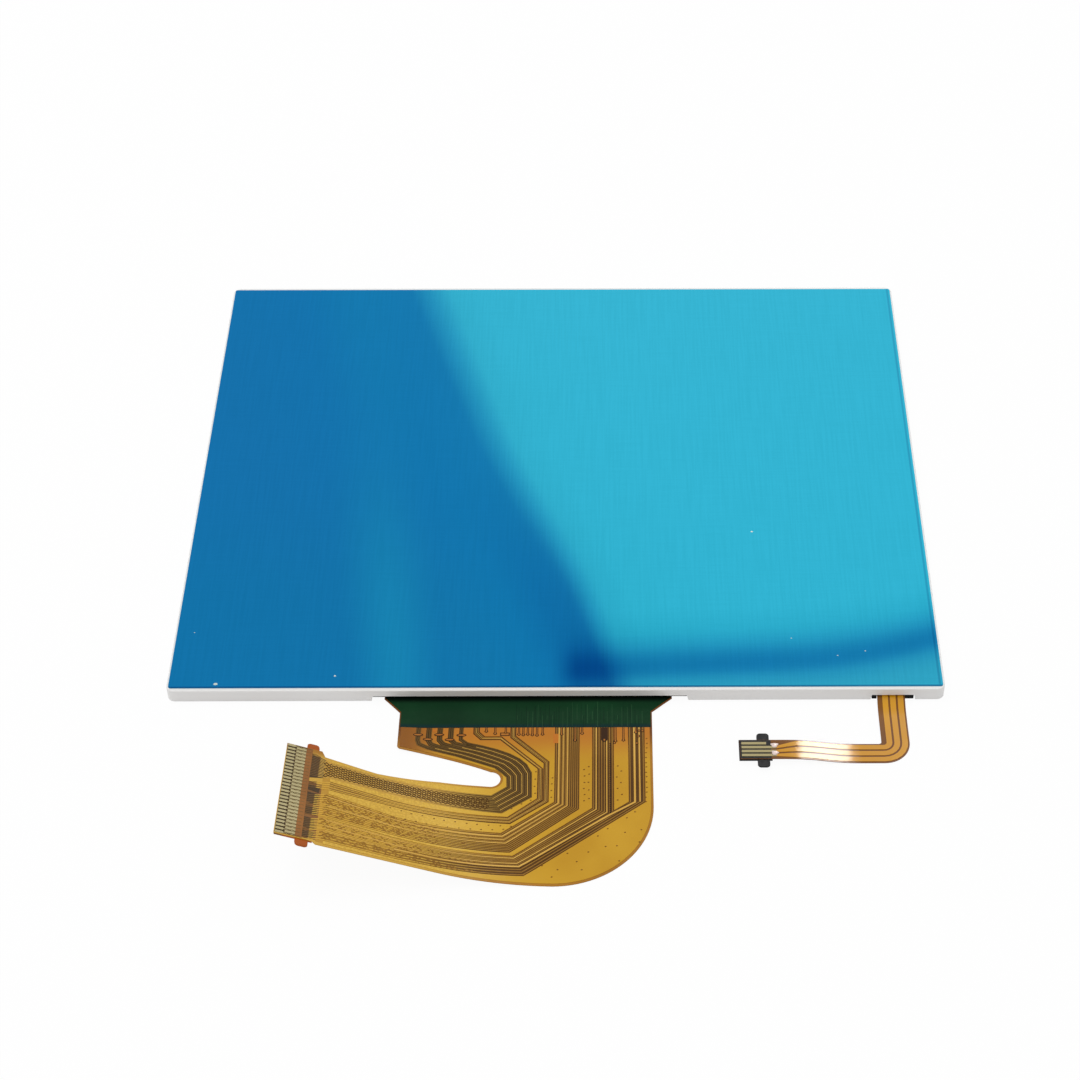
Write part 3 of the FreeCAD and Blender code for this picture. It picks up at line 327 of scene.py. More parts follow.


# Notch shade: strips of black foam behind the two notches, above the flexes and beside them. Their
# black is painted shade, which stands in for the shade inside the ends of the notches.
def build(name, points, faces, material, slot):
    """A piece that rides on the module, from points in millimetres."""
    mesh = bpy.data.meshes.new(name)
    mesh.from_pydata([Vector(point) * 0.001 for point in points], [], faces)
    mesh.materials.append(material)
    piece = bpy.data.objects.new(name, mesh)
    bpy.context.scene.collection.objects.link(piece)
    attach(piece, "root")
    return piece


def loft(rings):
    """Points and faces that join rings of equal size in order and close both ends."""
    size = len(rings[0])
    points = [point for ring in rings for point in ring]
    faces = [tuple(range(size))[::-1], tuple(range(len(points) - size, len(points)))]
    for first in range(0, len(points) - size, size):
        for corner in range(size):
            after = (corner + 1) % size
            faces.append((first + corner, first + after, first + size + after, first + size + corner))
    return points, faces


# Painted shade: this black finish stands in for the shade inside the notches.
seal_shade, tree, shader = new_finish("black_seal_shade", Roughness=0.9, Specular_IOR_Level=0.2)
place = add(tree, "TexCoord").outputs["Object"]
cells = add(tree, "TexVoronoi", {"Vector": place, "Scale": 9000.0}).outputs["Distance"]
bump = add(tree, "Bump", {"Strength": 0.6, "Distance": 0.00005, "Height": cells})
tint = mix(tree, cells, paint(7, 7, 8), paint(20, 20, 21))
wire(tree, shader, Base_Color=tint, Normal=bump.outputs[0])
saddle = [(-18.0, 0.13), (-17.05, 0.13), (-17.05, 0.46), (11.5, 0.46), (11.5, 0.13), (12.85, 0.13),
          (12.85, 0.745), (-18.0, 0.745)]
lip = [(-18.1, 0.6), (12.95, 0.6), (12.95, 0.75), (-18.1, 0.75)]
for name, outline, depths in (("main_notch_shade", saddle, (-31.02, -30.68)),
                              ("main_notch_shade_lip", lip, (-31.88, -31.03))):
    build(name, *loft([[(x, depth, z) for x, z in outline] for depth in depths]), seal_shade, "black_tape")
for name, left, right in (("left_notch_shade", 31.25, 31.72), ("right_notch_shade", 34.53, 35.38)):
    block = [(left, 0.13), (right, 0.13), (right, 0.7), (right - 0.05, 0.745), (left + 0.05, 0.745),
             (left, 0.7)]
    build(name, *loft([[(x, depth, z) for x, z in block] for depth in (-31.86, -30.68)]), seal_shade, "black_tape")


# Back film: a thin metallised plastic film with blue dye, glued over the whole back of the frame.
# It mirrors softly, with a fine weave of rolling marks, and its cut edge is darker.
rolling_marks, start, end = new_group("rolling_marks", {"Spacing": "Float"},
                                      {"Height": "Float", "Drift": "Float"})
place = add(rolling_marks, "TexCoord").outputs["Object"]
weave = []
for stretch in ((1, 0.03, 1), (0.05, 1, 1)):
    flow = add(rolling_marks, "Mapping", {"Vector": place, "Scale": stretch}).outputs[0]
    weave.append(add(rolling_marks, "TexNoise", {"Vector": flow, "Scale": start["Spacing"], "Detail": 2.0,
                                                 "Roughness": 0.5}).outputs["Fac"])
drift = add(rolling_marks, "TexNoise", {"Vector": place, "Scale": 45.0, "Detail": 2.0}).outputs["Fac"]
rolling_marks.links.new(maths(rolling_marks, "MULTIPLY_ADD", weave[1], 0.5, weave[0]), end["Height"])
rolling_marks.links.new(drift, end["Drift"])

blue_film, tree, shader = new_finish("blue_film", Metallic=1.0)
marks = use(tree, rolling_marks, Spacing=4200.0)
tint = mix(tree, span(tree, marks["Height"], 0.5, 1.0), paint(47, 178, 208), paint(50, 182, 213))
spot = position(tree)
near_rim = span(tree, spot["Y"], -0.03146, -0.03134, 0.6, 0)
right_rim = maths(tree, "SUBTRACT", span(tree, spot["X"], 0.03775, 0.0379, 0, 0.3),
                  span(tree, spot["X"], 0.0380, 0.0381, 0, 0.3))
tint = mix(tree, maths(tree, "MAXIMUM", near_rim, right_rim), tint, paint(14, 70, 130))
rough = span(tree, marks["Drift"], 0.3, 0.7, 0.022, 0.034)
bump = add(tree, "Bump", {"Strength": 0.005, "Distance": 0.00002, "Height": marks["Height"]})
wire(tree, shader, Base_Color=tint, Roughness=rough, Normal=bump.outputs[0])
dress("back_film", blue_film)


# Main flex, base film: amber polyimide. It shows between the copper lines and as a narrow rim
# round the edge, where it looks brown because the light passes through twice.
def over(material, share, colour):
    """Lays another colour over the tint of a finish, by this share."""
    tree = material.node_tree
    tint = next(node for node in tree.nodes if node.type == "BSDF_PRINCIPLED").inputs["Base Color"]
    tree.links.new(mix(tree, share, tint.links[0].from_socket, paint(*colour)), tint)


# The share along X, kept to the arm, carries painted light where the curled arm is painted paler, and also
# other changes of tint near the contact end.
shades = {}
for axis, name in (("X", "shade_along_arm"), ("Y", "shade_down_body")):
    shades[axis], start, end = new_group(name, {"Start": "Float", "End": "Float"}, {"Share": "Float"})
    spot = position(shades[axis])
    share = span(shades[axis], spot[axis], start["Start"], start["End"])
    if axis == "X":
        share = maths(shades[axis], "MULTIPLY", share, span(shades[axis], spot["Y"], -0.0412, -0.0422))
    shades[axis].links.new(share, end["Share"])


def shade_along(material, axis, start, end, colour):
    """Changes a tint towards another along Y, or along X on the arm only, in millimetres."""
    shade = use(material.node_tree, shades[axis], Start=start * 0.001, End=end * 0.001)
    over(material, shade["Share"], colour)


bare_film = grained_finish("amber_film", (160, 108, 36), (176, 122, 42))
shade_along(bare_film, "Y", -39.0, -35.8, (112, 66, 26))
# Painted light: the film is painted paler along the curled arm, where the light falls flatter.
shade_along(bare_film, "X", -4.0, -14.0, (206, 162, 66))
dress("main_flex", bare_film)


# Etched gaps: between the lines of each bundle the copper is gone, and the glue under the cover
# film fills the gaps and looks dark brown. Every bed follows its bundle round the curl.
curl_foot, curl_bearing = -0.15, math.radians(31.6)
curl_radius, curl_angle = 23.0, math.radians(22.75)
body_left, body_width = -15.35, 24.8
arm_edge, arm_width = -55.05, 12.4
film_top, copper_top = 0.1, 0.13
lacquer_edge, fan_start = -35.6, -21.55
tail_length, tail_width, tail_middle, tail_flare = 10.75, 13.45, -48.0, 0.3
ramp_foot, ramp_length, root_lift, table_gap = -34.4, 3.0, 0.28, 0.02


def on_flex(x, y, height):
    """Where a point of the flat main flex stands once its arm is curled and its root stepped up."""
    share = max(0.0, (body_left - x) / tail_length)
    x += share * tail_flare * (y - tail_middle) / tail_width
    away = Vector((-math.cos(curl_bearing), -math.sin(curl_bearing)))
    distance = max(0.0, (x - curl_foot) * away.x + (y - arm_edge) * away.y)
    bent = min(distance, curl_radius * curl_angle)
    turn = bent / curl_radius
    reach = (curl_radius - height) * math.sin(turn) + (distance - bent) * math.cos(turn)
    lift = curl_radius - (curl_radius - height) * math.cos(turn) + (distance - bent) * math.sin(turn)
    rise = min(max((y - ramp_foot) / ramp_length, 0.0), 1.0)
    lift += root_lift * (2 * rise ** 2 if rise < 0.5 else 1 - 2 * (1 - rise) ** 2)
    shift = reach - distance
    return (x + shift * away.x, y + shift * away.y, table_gap + lift)


def body(share):
    """X at a share of the width of the flex's body, from its left edge."""
    return body_left + body_width * share


def arm(share):
    """Y at a share of the width of the flex's arm, from its outer edge."""
    return arm_edge + arm_width * share


def part_way(first, last, share):
    """The point at a share of the way from one point to another."""
    return (first[0] + (last[0] - first[0]) * share, first[1] + (last[1] - first[1]) * share)


def divided(left, right, longest=0.7):
    """Both sides of a strip with more points where it lies on the curled part."""
    pairs = [(left[0], right[0])]
    for index in range(1, len(left)):
        first, last = left[index - 1], left[index]
        curled = min(first[0], last[0]) < 1.0
        steps = max(1, math.ceil(math.dist(first, last) / longest)) if curled else 1
        for step in range(1, steps + 1):
            pairs.append(tuple(part_way(side[index - 1], side[index], step / steps) for side in (left, right)))
    return pairs


def beside(route, distance):
    """The same route moved sideways to its left, with mitred corners."""
    moved = []
    for index, point in enumerate(route):
        before = Vector(point) - Vector(route[index - 1]) if index else None
        after = Vector(route[index + 1]) - Vector(point) if index + 1 < len(route) else None
        runs = [run.normalized() for run in (before, after) if run]
        normals = [Vector((-run.y, run.x)) for run in runs]
        normal = normals[0] if len(normals) == 1 else normals[0] + normals[1]
        normal = normal / max(normal.dot(normals[0]), 0.3)
        moved.append((point[0] + normal.x * distance, point[1] + normal.y * distance))
    return moved


def joined(parts):
    """Points and faces of several closed parts as one piece."""
    points, faces = [], []
    for part_points, part_faces in parts:
        faces += [tuple(corner + len(points) for corner in face) for face in part_faces]
        points += part_points
    return points, faces


def layer(strips, low, high, place=on_flex):
    """Points and faces of flat strips, each between its two sides and two heights."""
    return joined(loft([[place(*one, low), place(*other, low), place(*other, high), place(*one, high)]
                        for one, other in divided(left, right)]) for left, right in strips)


def strip(route, width):
    """The two sides of a line of even width."""
    return beside(route, width / 2), beside(route, -width / 2)


pair_inner = [(body(0.077), lacquer_edge), (body(0.075), -37.25), (body(0.082), -37.8),
              (body(0.122), -38.3), (body(0.23), -39.1), (body(0.338), -40.15),
              (body(0.388), -40.65), (body(0.416), -41.3), (body(0.4375), -41.9),
              (body(0.44), -43.2), (body(0.377), arm(0.862)),
              (body(0.014), arm(0.944)), (fan_start, arm(0.985))]
pair_outer = [(body(0.25), lacquer_edge), (body(0.249), -37.1), (body(0.274), -37.63),
              (body(0.335), -38.05), (body(0.389), -38.5), (body(0.44), -39.07),
              (body(0.479), -39.7), (body(0.505), -40.38), (body(0.524), -41.4),
              (body(0.526), -44.35), (body(0.417), arm(0.71)),
              (body(0.014), arm(0.798)), (fan_start, arm(0.81))]


def nested(start, turn, corner, root, middle, end, lead=()):
    """One side of a nested bundle: down the body, across at a slant, then along the arm."""
    return list(lead) + [(body(start), arm(turn)), (body(corner), arm(root)), (body(0.014), arm(middle)),
                         (fan_start, arm(end))]


bundles = [
    (nested(0.558, 0.839, 0.443, 0.649, 0.705, 0.751,
            [(body(0.302), lacquer_edge), (body(0.302), -36.32), (body(0.327), -37.02),
             (body(0.405), -37.02), (body(0.558), -40.8)]),
     nested(0.5685, 0.831, 0.4453, 0.634, 0.69, 0.724,
            [(body(0.314), lacquer_edge), (body(0.314), -36.17), (body(0.339), -36.87),
             (body(0.405), -36.87), (body(0.5685), -40.93)])),
    (nested(0.581, 0.823, 0.4477, 0.62, 0.675, 0.697,
            [(body(0.448), lacquer_edge), (body(0.448), -36.82), (body(0.581), -40.12)]),
     nested(0.591, 0.815, 0.45, 0.605, 0.66, 0.67,
            [(body(0.458), lacquer_edge), (body(0.458), -36.72), (body(0.591), -40.02)])),
    (nested(0.624, 0.803, 0.42, 0.492, 0.52, 0.60, [(body(0.624), lacquer_edge)]),
     nested(0.708, 0.743, 0.452, 0.325, 0.325, 0.345, [(body(0.708), lacquer_edge)])),
    (nested(0.77, 0.742, 0.467, 0.27, 0.278, 0.31, [(body(0.77), lacquer_edge)]),
     nested(0.842, 0.69, 0.488, 0.182, 0.168, 0.2, [(body(0.842), lacquer_edge)])),
    (nested(0.911, 0.803, 0.492, 0.178, 0.14, 0.16, [(body(0.911), lacquer_edge)]),
     nested(0.963, 0.811, 0.506, 0.101, 0.06, 0.07, [(body(0.963), lacquer_edge)])),
]


def between(first, last, share):
    """The route at a share of the way from one route to another of as many points."""
    return [part_way(*points, share) for points in zip(first, last)]


def split(first, last, parts):
    """A wide strip as narrow ones side by side, so that it follows the curl."""
    return [(between(first, last, part / parts), between(first, last, (part + 1) / parts))
            for part in range(parts)]


# Painted light: each glue below is painted paler along the curled arm, where the light falls flatter.
gap_glue = grained_finish("gap_glue", (80, 50, 14), (94, 62, 20), gloss=(0.4, 0.55))
shade_along(gap_glue, "X", -5.0, -17.5, (172, 127, 42))
upper_glue = grained_finish("upper_glue", (58, 34, 12), (72, 44, 18), gloss=(0.4, 0.55))
shade_along(upper_glue, "X", -5.0, -17.5, (132, 90, 34))
pair_glue = grained_finish("pair_glue", (60, 40, 14), (72, 48, 18), gloss=(0.4, 0.55))
shade_along(pair_glue, "X", -7.0, -14.0, (180, 136, 50))
pair_lanes = [between(pair_inner, pair_outer, lane / 4) for lane in range(5)]
gaps = [strip(lane[:6], 0.48) for lane in pair_lanes]
build("pair_gaps", *layer(gaps, film_top, 0.119), pair_glue, "dark_lines")
beds = split(beside(pair_inner, -0.1)[4:], beside(pair_outer, 0.12)[4:], 4)
build("pair_bed", *layer(beds, film_top, 0.116), pair_glue, "dark_lines")
for number, (first, last) in enumerate(bundles):
    wide = split(beside(first, -0.13), beside(last, 0.13), 1 if number < 2 else 4)
    build("etched_gaps_%d" % (number + 1), *layer(wide, film_top, 0.11 + 0.003 * (number % 2)),
          upper_glue if number < 2 else gap_glue, "dark_lines")


# Ground planes: copper under amber cover film, golden and orange near the green lacquer, with the
# faint mottling of the hatched copper on the far side. Along the curled arm it is painted a paler gold,
# which is painted light. Round the fan of the pairs it is drawn as a bed of its own.
copper = grained_finish("covered_copper", (192, 143, 36), (204, 157, 44), gloss=(0.34, 0.5))
# Painted light: paler gold along the curled arm, where the light falls flatter.
shade_along(copper, "X", -2.0, -11.0, (222, 180, 72))
tree = copper.node_tree
spot = position(tree)
mottle = use(tree, fine_grain, Fineness=4200.0)
mottle_share = maths(tree, "MULTIPLY", span(tree, mottle["Weave"], 0.25, 0.7),
                     span(tree, spot["X"], -0.004, -0.015))
over(copper, maths(tree, "MULTIPLY", mottle_share, 0.35), (172, 124, 38))
over(copper, span(tree, spot["Y"], -0.0405, -0.0362), (186, 117, 38))
lobe_share = maths(tree, "MULTIPLY", span(tree, spot["Y"], -0.0405, -0.0385),
                   span(tree, spot["X"], -0.0105, -0.0148))
over(copper, lobe_share, (140, 86, 28))
dress("ground_planes", copper)
lobe = split(beside(pair_inner[:6], -0.22), beside(pair_outer[:6], 0.22), 8)
build("lobe_copper", *layer(lobe, film_top, 0.1155), copper, "covered_copper")


# Conductor lines: narrow copper, etched from the same foil as the ground planes. The amber glue
# beside them darkens them, and they look paler on the arm, where the light falls flatter.
for name, dark, light, far in (("pair_lines", (94, 70, 28), (108, 80, 34), (206, 164, 76)),
                               ("signal_lines", (146, 104, 38), (162, 118, 46), (220, 176, 70))):
    lines = grained_finish(name, dark, light, gloss=(0.38, 0.5))
    shade_along(lines, "X", -3.0, -13.0 if name == "pair_lines" else -14.0, far)
    shade_along(lines, "X", -22.1, -22.25, (112, 82, 44))
    shade_along(lines, "X", -23.65, -23.8, (158, 98, 46))
    dress(name, lines)


# Guard lines: pale grounded lines between the pairs and inside the long bundles, which keep the
# signals apart. They are of the same copper and catch a little more light.
guard = grained_finish("guard_copper", (206, 158, 66), (220, 174, 84))
guards = [strip(between(pair_inner, pair_outer, share)[3:11], 0.055)
          for share in (0.125, 0.375, 0.625, 0.875)]
for number, share, width, end in ((0, 0.5, 0.05, None), (1, 0.5, 0.05, None), (2, 0.12, 0.13, None),
                                  (2, 0.32, 0.07, -1), (2, 0.52, 0.1, None), (3, 0.13, 0.11, None),
                                  (3, 0.7, 0.1, None), (4, 0.72, 0.11, 2)):
    first, last = bundles[number]
    guards.append(strip(between(first, last, share)[:end], width))
build("guard_lines", *layer(guards, 0.131, 0.1355), guard, "covered_copper")


# Seam: the ground line between the last two long bundles. It turns with them and has a narrow
# etched gap on each side.
seam = between(*bundles[4], 0.34)[:2] + [(5.0, -46.8)] + between(bundles[3][1], bundles[4][0], 0.5)[2:4]
seam_sides = [strip(beside(seam[1:], -0.16), 0.08), strip(beside(seam[1:], 0.15), 0.07)]
build("seam_gap", *layer(seam_sides, 0.131, 0.134), gap_glue, "dark_lines")
build("seam_line", *layer([strip(seam, 0.19)], 0.131, 0.1368), guard, "covered_copper")


# Shield hatch: the crossed lines of the shield on the far side, which show through the film over
# the pairs of the arm as a diamond pattern that fades towards the turn.
def point_between(inner, outer, x, across):
    """The point at this X whose place across the bundle runs from 0 to 1."""
    heights = []
    for route in (inner, outer):
        for (x1, y1), (x2, y2) in zip(route, route[1:]):
            if x2 <= x <= x1:
                heights.append(y1 + (y2 - y1) * (x - x1) / (x2 - x1))
                break
        else:
            heights.append(route[-1][1])
    return (x, heights[0] + (heights[1] - heights[0]) * across)


hatch = grained_finish("shield_hatch", (72, 46, 10), (88, 58, 16), gloss=(0.4, 0.5))
hatch_start, hatch_pitch, hatch_run = -22.5, 0.47, 2.45
hatch_left, hatch_right = -22.4, -6.15
hatch_top = beside(pair_inner[10:], 0.15) + [(hatch_start, -42.75)]
hatch_low = beside(pair_outer[10:], -0.15) + [(hatch_start, -45.3)]
crossings = []
for count in range(42):
    foot = hatch_start + hatch_pitch * count - hatch_run
    for lean in (1, -1):
        route = []
        for step in range(9):
            across = step / 8
            x = foot + hatch_run * (across if lean > 0 else 1 - across)
            if hatch_left < x < hatch_right:
                route.append(point_between(hatch_top, hatch_low, x, across))
        if len(route) > 1:
            width = 0.092 - 0.024 * min(max((route[0][0] + 13.0) / 8.0, 0.0), 1.0)
            crossings.append(strip(route, width))
build("shield_hatch", *layer(crossings, 0.128, 0.136), hatch, "dark_lines")


# Far side waves: the copper mesh on the far side shows through the film under the long bundles of
# the arm as short wavy marks, which thin out towards the turn.
wave_shade = grained_finish("far_side_waves", (140, 98, 30), (156, 112, 38), gloss=(0.4, 0.5))
shuffle = random.Random(11)
wave_step, wave_height = 0.27, 0.09
wave_left, wave_right = -22.2, -8.0
waves = []
for (first, last), rows in zip(bundles[2:], (9, 4, 4)):
    for row in range(rows):
        x = wave_left + shuffle.uniform(0.0, 0.5)
        while x < wave_right:
            steps = shuffle.randint(3, 6)
            if shuffle.random() < min(1.0, (-7.0 - x) / 7.0):
                route = [point_between(first, last, x + wave_step * step, (row + 0.5) / rows)
                         for step in range(steps)]
                route = [(along, y + (wave_height if step % 2 else -wave_height))
                         for step, (along, y) in enumerate(route)]
                waves.append(strip(route, shuffle.uniform(0.09, 0.14)))
            x += wave_step * steps + shuffle.uniform(0.1, 0.4)
build("far_side_waves", *layer(waves, 0.1305, 0.1345), wave_shade, "dark_lines")


# Pads and stubs: small copper lands beside the lines near the green lacquer, each with a dark
# etched ring, and two bare lands without one.
def oval(x, y, width, depth, turn=0.0, count=14):
    """Corners of an oval in the plan of the flat film."""
    corners = []
    for step in range(count):
        angle = 2 * math.pi * step / count
        along, aside = width / 2 * math.cos(angle), depth / 2 * math.sin(angle)
        corners.append((x + along * math.cos(turn) - aside * math.sin(turn),
                        y + along * math.sin(turn) + aside * math.cos(turn)))
    return corners


def lozenges(outlines, low, high):
    """Points and faces of small flat tiles with these outlines."""
    return joined(loft([[on_flex(x, y, height) for x, y in outline] for height in (low, high)])
                  for outline in outlines)


etched = grained_finish("etched_ring", (44, 25, 8), (58, 34, 12), gloss=(0.4, 0.5))
land = grained_finish("copper_land", (166, 102, 38), (182, 116, 44))
pads = [(-13.41, -36.51), (-12.43, -37.08), (-11.35, -36.47), (-10.30, -37.12), (-9.17, -36.54)]
stubs = [(-6.76, 36.1), (-5.89, 36.4), (-4.86, 36.36), (-3.57, 36.5), (-3.14, 36.57), (-2.7, 36.5),
         (-2.25, 36.57), (-1.8, 36.62), (-1.26, 36.5), (0.6, 36.5), (1.92, 37.3), (2.6, 36.4), (5.86, 37.4),
         (6.63, 37.3), (7.84, 36.3)]
rings = [oval(x, y, 1.0, 0.4) for x, y in pads]
lands = [oval(x, y, 0.78, 0.2) for x, y in pads]
for x, reach in stubs:
    rings.append([(x - 0.1, -35.57), (x + 0.1, -35.57), (x + 0.11, -reach + 0.24), (x + 0.2, -reach),
                  (x, -reach - 0.16), (x - 0.2, -reach), (x - 0.11, -reach + 0.24)])
    lands.append([(x - 0.035, -35.57), (x + 0.035, -35.57), (x + 0.04, -reach + 0.2), (x + 0.09, -reach),
                  (x, -reach - 0.05), (x - 0.09, -reach), (x - 0.04, -reach + 0.2)])
for x, y in ((8.17, -36.03), (8.51, -36.03), (8.09, -36.73), (7.93, -37.63), (5.76, -37.57)):
    rings.append(oval(x, y, 0.3, 0.34))
    lands.append(oval(x, y, 0.16, 0.18))
rings.append([(-5.4, -36.22), (-4.46, -36.22), (-4.46, -36.66), (-5.4, -36.66)])
lands.append([(-5.3, -36.32), (-4.56, -36.32), (-4.56, -36.56), (-5.3, -36.56)])
rings.append([(4.46, lacquer_edge), (5.08, lacquer_edge), (5.08, -37.2), (4.9, -37.45), (4.64, -37.45),
              (4.46, -37.2)])
lands.append([(4.7, -37.1), (4.84, -37.1), (4.84, -37.3), (4.7, -37.3)])
build("etched_rings", *lozenges(rings, 0.129, 0.137), etched, "dark_lines")
build("copper_lands", *lozenges(lands, copper_top, 0.14), land, "covered_copper")
orange_land = grained_finish("orange_land", (186, 108, 34), (198, 120, 42))
build("bare_lands", *lozenges([
    [(-0.2, -36.4), (0.32, -36.4), (0.34, -37.6), (-0.19, -37.6)],
    [(-12.0, -35.8), (-11.7, -35.8), (-11.7, -36.1), (-12.0, -36.1)],
], 0.129, 0.1335), orange_land, "covered_copper")


# Plated holes: small copper-lined holes that stitch the ground planes of both sides together, in
# rows beside the bundles and scattered over the wide corner.
shuffle = random.Random(7)
vias = [(8.9 - 0.012 * step, -37.0 - 0.62 * step) for step in range(14)]
vias += [(2.85, -41.0 - 0.78 * step) for step in range(6)]
vias += [(3.27, -40.6 - 1.0 * step) for step in range(5)]
vias += [(6.0 + 0.4 * (step % 2), -40.5 - 0.72 * step) for step in range(7)]
vias += [(-1.86, -40.4 - 0.9 * step) for step in range(5)]
vias += [(-0.25, -42.0 - 0.8 * step) for step in range(4)]
vias += [(-4.9 + 0.9 * step, -46.3 + 0.5 * step) for step in range(4)]
vias += [(-15.6 + 1.05 * step, -47.35 - 0.06 * step) for step in range(12)]
vias += [(-15.2 + 1.05 * step, -48.5 + 0.01 * step) for step in range(11)]
vias += [(5.06, -48.27), (6.92, -46.98), (8.26, -48.4), (6.66, -48.82), (1.31, -51.25), (3.31, -51.05),
         (4.89, -50.42), (5.89, -50.32), (-0.07, -54.08), (2.65, -53.15), (4.14, -49.13), (6.13, -52.22),
         (-1.08, -52.72), (8.07, -49.9), (7.7, -46.3), (0.4, -53.2), (2.2, -52.2)]
holes = [oval(x + shuffle.uniform(-0.06, 0.06), y + shuffle.uniform(-0.06, 0.06), 0.2, 0.15, 0.3, 8)
         for x, y in vias]
via_dark = grained_finish("via_holes", (116, 76, 20), (134, 90, 26), gloss=(0.35, 0.45))
build("via_holes", *lozenges(holes, 0.129, 0.1345), via_dark, "covered_copper")


# Dark chain: one line of close plated holes beside the fourth bundle, each with bare dark film
# round it, so that it looks like a dotted seam.
links = [oval(5.33, -37.7 - 0.24 * step, 0.15, 0.21, 0.0, 8) for step in range(37)]
build("via_chain", *lozenges(links, 0.131, 0.137), etched, "dark_lines")


# Contacts of the main flex: two staggered rows of fingers, thin pale gold over nickel on copper,
# with bare dark film between the front ones and paler film between the rear ones.
gold = grained_finish("gold_contacts", (168, 154, 106), (186, 172, 124), gloss=(0.3, 0.42),
                      Specular_IOR_Level=0.2)
dress("main_contacts_front", gold)
dress("main_contacts_rear", gold)
bare_base = grained_finish("bare_base", (50, 36, 16), (64, 46, 22), gloss=(0.45, 0.55))
rear_base = grained_finish("rear_base", (92, 74, 40), (108, 88, 50), gloss=(0.45, 0.55))


def across_tongue(left, right, top=-41.35, bottom=-54.65):
    """A strip that lies across the contact end, over its whole width unless told otherwise."""
    return [([(left, top), (left, bottom)], [(right, top), (right, bottom)])]


build("front_gaps", *layer(across_tongue(-26.06, -25.2), film_top, 0.11), bare_base, "dark_lines")
build("rear_gaps", *layer(across_tongue(-25.2, -24.18), film_top, 0.112), rear_base, "polyimide")
zigzags = []
for count in range(27):
    y = -41.5 - 0.5 * count
    crest = [(-25.17, y), (-24.95, y + 0.05), (-24.75, y - 0.09), (-24.5, y + 0.07), (-24.2, y - 0.03)]
    zigzags += [strip(crest, 0.09), strip([(-24.2, y - 0.03), (-23.72, y)], 0.06)]
build("tongue_zigzags", *layer(zigzags, 0.1305, 0.135), rear_base, "polyimide")


# Contact end: brown cover film that ends behind the fingers, dark patches where the lines run
# without copper behind them, and the paler glue in which they fan out to the fingers.
tail_base = grained_finish("tail_base", (128, 82, 38), (156, 102, 50), gloss=(0.4, 0.5))
patch_base = grained_finish("patch_base", (66, 50, 30), (82, 60, 36), gloss=(0.4, 0.5))
window_base = grained_finish("window_base", (122, 82, 42), (138, 94, 50), gloss=(0.4, 0.5))
fan_glue = grained_finish("fan_glue", (180, 134, 46), (194, 146, 54), gloss=(0.4, 0.5))
patches = [([(-23.6, -42.1), (-22.2, -42.5)], [(-23.6, -45.7), (-22.25, -45.3)]),
           ([(-23.75, -46.7), (-22.45, -46.9)], [(-23.75, -47.5), (-22.5, -47.7)]),
           ([(-23.75, -47.8), (-22.45, -47.9)], [(-23.75, -49.2), (-22.6, -49.6)]),
           ([(-23.75, -49.9), (-22.5, -49.9)], [(-23.75, -50.9), (-22.5, -51.05)]),
           ([(-23.75, -51.5), (-22.6, -51.55)], [(-23.75, -53.0), (-22.5, -53.2)]),
           ([(-23.75, -53.4), (-22.5, -53.5)], [(-23.75, -54.4), (-22.6, -54.35)])]
build("tail_cover", *layer(across_tongue(-24.2, -23.58), 0.1305, 0.133), tail_base, "polyimide")
build("window_patches", *layer(patches, film_top, 0.116), patch_base, "polyimide")
build("window_bed", *layer(across_tongue(-23.6, -22.3, -46.3, -54.5), film_top, 0.108), window_base,
      "polyimide")
build("fan_bed", *layer(across_tongue(-22.3, -21.5, -42.8, -54.7), film_top, 0.107), fan_glue, "dark_lines")


# Main stiffener: a plate of orange polyimide bonded under the contact end, with an ear on each
# side for the catch of the socket. Towards its outer end it is painted browner, as painted shade on
# its visible edge.
orange = grained_finish("orange_stiffener", (160, 76, 20), (182, 94, 30), gloss=(0.3, 0.4))
# Painted shade: browner towards the outer end, where the edge of the plate shows.
shade_along(orange, "X", -24.3, -24.6, (124, 78, 38))
dress("main_stiffener", orange)


# Green lacquer: solder mask, dark and satin, thin enough that the copper lines under its right half
# stand up as fine raised lines. These are drawn as thin strips of lacquer: every third one is painted
# lighter, a painted highlight, and the others are painted darker, painted shade.
green = grained_finish("green_lacquer", (14, 47, 26), (19, 57, 32), gloss=(0.5, 0.62),
                       Specular_IOR_Level=0.05)
shade_along(green, "Y", -34.9, -35.4, (12, 44, 42))
# Painted shade: the top edge of the lacquer, where it meets the frame wall, is painted darker.
shade_along(green, "Y", -32.6, -32.0, (6, 20, 12))
dress("green_mask", green)
# Painted highlight on the raised strips and painted shade on the strips between them.
ridge_highlight = grained_finish("lacquer_ridge_highlights", (30, 68, 40), (40, 78, 48), gloss=(0.45, 0.6),
                       Specular_IOR_Level=0.08)
hollow_shade = grained_finish("lacquer_hollow_shades", (10, 36, 22), (13, 40, 25), gloss=(0.5, 0.6),
                        Specular_IOR_Level=0.05)
ridge_highlights, hollow_shades = [], []
for count in range(78):
    x = -3.9 + 0.163 * count + shuffle.uniform(-0.05, 0.05)
    top = -32.4 - shuffle.choice((0.0, 0.3, 0.6, 1.1, 1.6))
    foot = -35.45 + shuffle.choice((0.0, 0.0, 0.4, 0.9))
    if x < 9.2 and shuffle.random() > 0.2:
        route = [(x, top + (foot - top) * step / 6) for step in range(7)]
        (ridge_highlights if count % 3 == 1 else hollow_shades).append(strip(route, shuffle.uniform(0.025, 0.05)))
build("lacquer_ridge_highlights", *layer(ridge_highlights, copper_top, 0.134), ridge_highlight, "solder_mask")
build("lacquer_hollow_shades", *layer(hollow_shades, copper_top, 0.133), hollow_shade, "solder_mask")


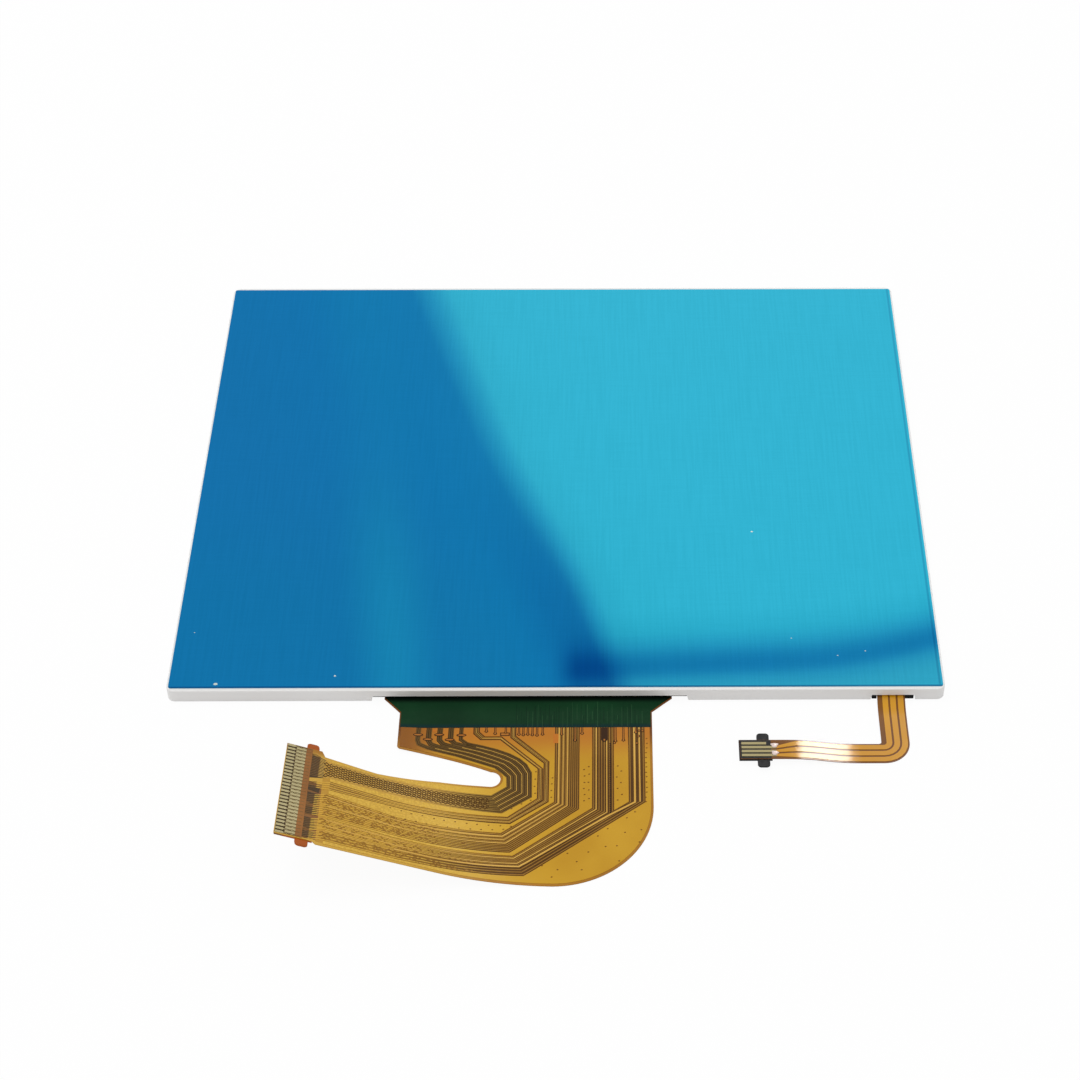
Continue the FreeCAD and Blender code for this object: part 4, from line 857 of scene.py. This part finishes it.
# Backlight flex: three wide copper conductors under a glossy amber cover film, which mirrors a
# window where the arm slopes up.
backlight_film = grained_finish("backlight_amber", (112, 66, 6), (128, 78, 10), gloss=(0.3, 0.4),
                                Coat_Weight=0.4, Coat_Roughness=0.12)
dress("backlight_flex", backlight_film)
wide_copper = grained_finish("wide_copper", (202, 140, 8), (214, 152, 12), gloss=(0.28, 0.4), relief=0.08,
                             Coat_Weight=0.65, Coat_Roughness=0.12)
dress("backlight_conductors", wide_copper)
dress("backlight_contacts", gold)


# Black end of the backlight flex: a black plastic stiffener below, and black ink on the film
# between and round the four contacts.
def on_backlight(x, y, height):
    """A point of the level, raised end of the backlight flex."""
    return (x, y, 0.68 + height)


black = grained_finish("black_stiffener", (13, 13, 14), (24, 24, 25), gloss=(0.5, 0.62),
                       Specular_IOR_Level=0.25)
dress("backlight_stiffener", black)
ink_sides = ([(17.92, -37.83), (20.2, -37.83), (20.9, -37.83)],
             [(17.92, -40.17), (20.2, -40.17), (20.9, -40.17)])
build("black_print", *layer([ink_sides], 0.081, 0.088, on_backlight), black, "black_stiffener")


# Solder blobs: two small uneven drops of pinkish bright solder beside the contacts, one over each
# joint. Each spreads a little at its foot and has a ragged outline.
solder = grained_finish("solder", (226, 206, 198), (244, 232, 226), gloss=(0.25, 0.4), relief=0.4,
                        Metallic=0.3)
dress("backlight_joints", solder)
for number, (x, y, width) in enumerate(((21.25, -38.52, 0.36), (21.25, -39.5, 0.34))):
    rings = []
    for share, height in ((1.0, 0.11), (1.05, 0.14), (0.86, 0.19), (0.5, 0.225), (0.12, 0.235)):
        ring = []
        for step in range(16):
            angle = 2 * math.pi * step / 16
            bulge = 1 + 0.16 * math.sin(3 * angle + number) + 0.09 * math.sin(5 * angle + 2 * number)
            ring.append(on_backlight(x + width * share * bulge * math.cos(angle),
                                     y + 0.8 * width * share * bulge * math.sin(angle), height))
        rings.append(ring)
    blob = build("solder_blob_%d" % number, *loft(rings), solder, "solder")
    for face in blob.data.polygons:
        face.use_smooth = True


# Dust: a few bright specks that have settled on the blue film, most of them near its front edge.
# Each is a low oval grain.
speck_paint = grained_finish("dust", (200, 214, 206), (226, 232, 220))
specks = [(-33.6, -31.05, 0.16), (-21.9, -30.0, 0.09), (20.3, -9.5, 0.1), (23.6, -25.0, 0.05),
          (-36.5, -24.0, 0.05), (30.9, -26.8, 0.06), (28.1, -27.4, 0.05)]
film_back = 1.65
grains = []
for x, y, width in specks:
    rings = [[(x + 1.3 * width * share * math.cos(angle), y + width * share * math.sin(angle),
               film_back + height)
              for angle in [math.pi * step / 4 for step in range(8)]]
             for share, height in ((1.0, 0.0002), (0.5, 0.0012))]
    grains.append(loft(rings))
build("dust", *joined(grains), speck_paint, "optical_film")
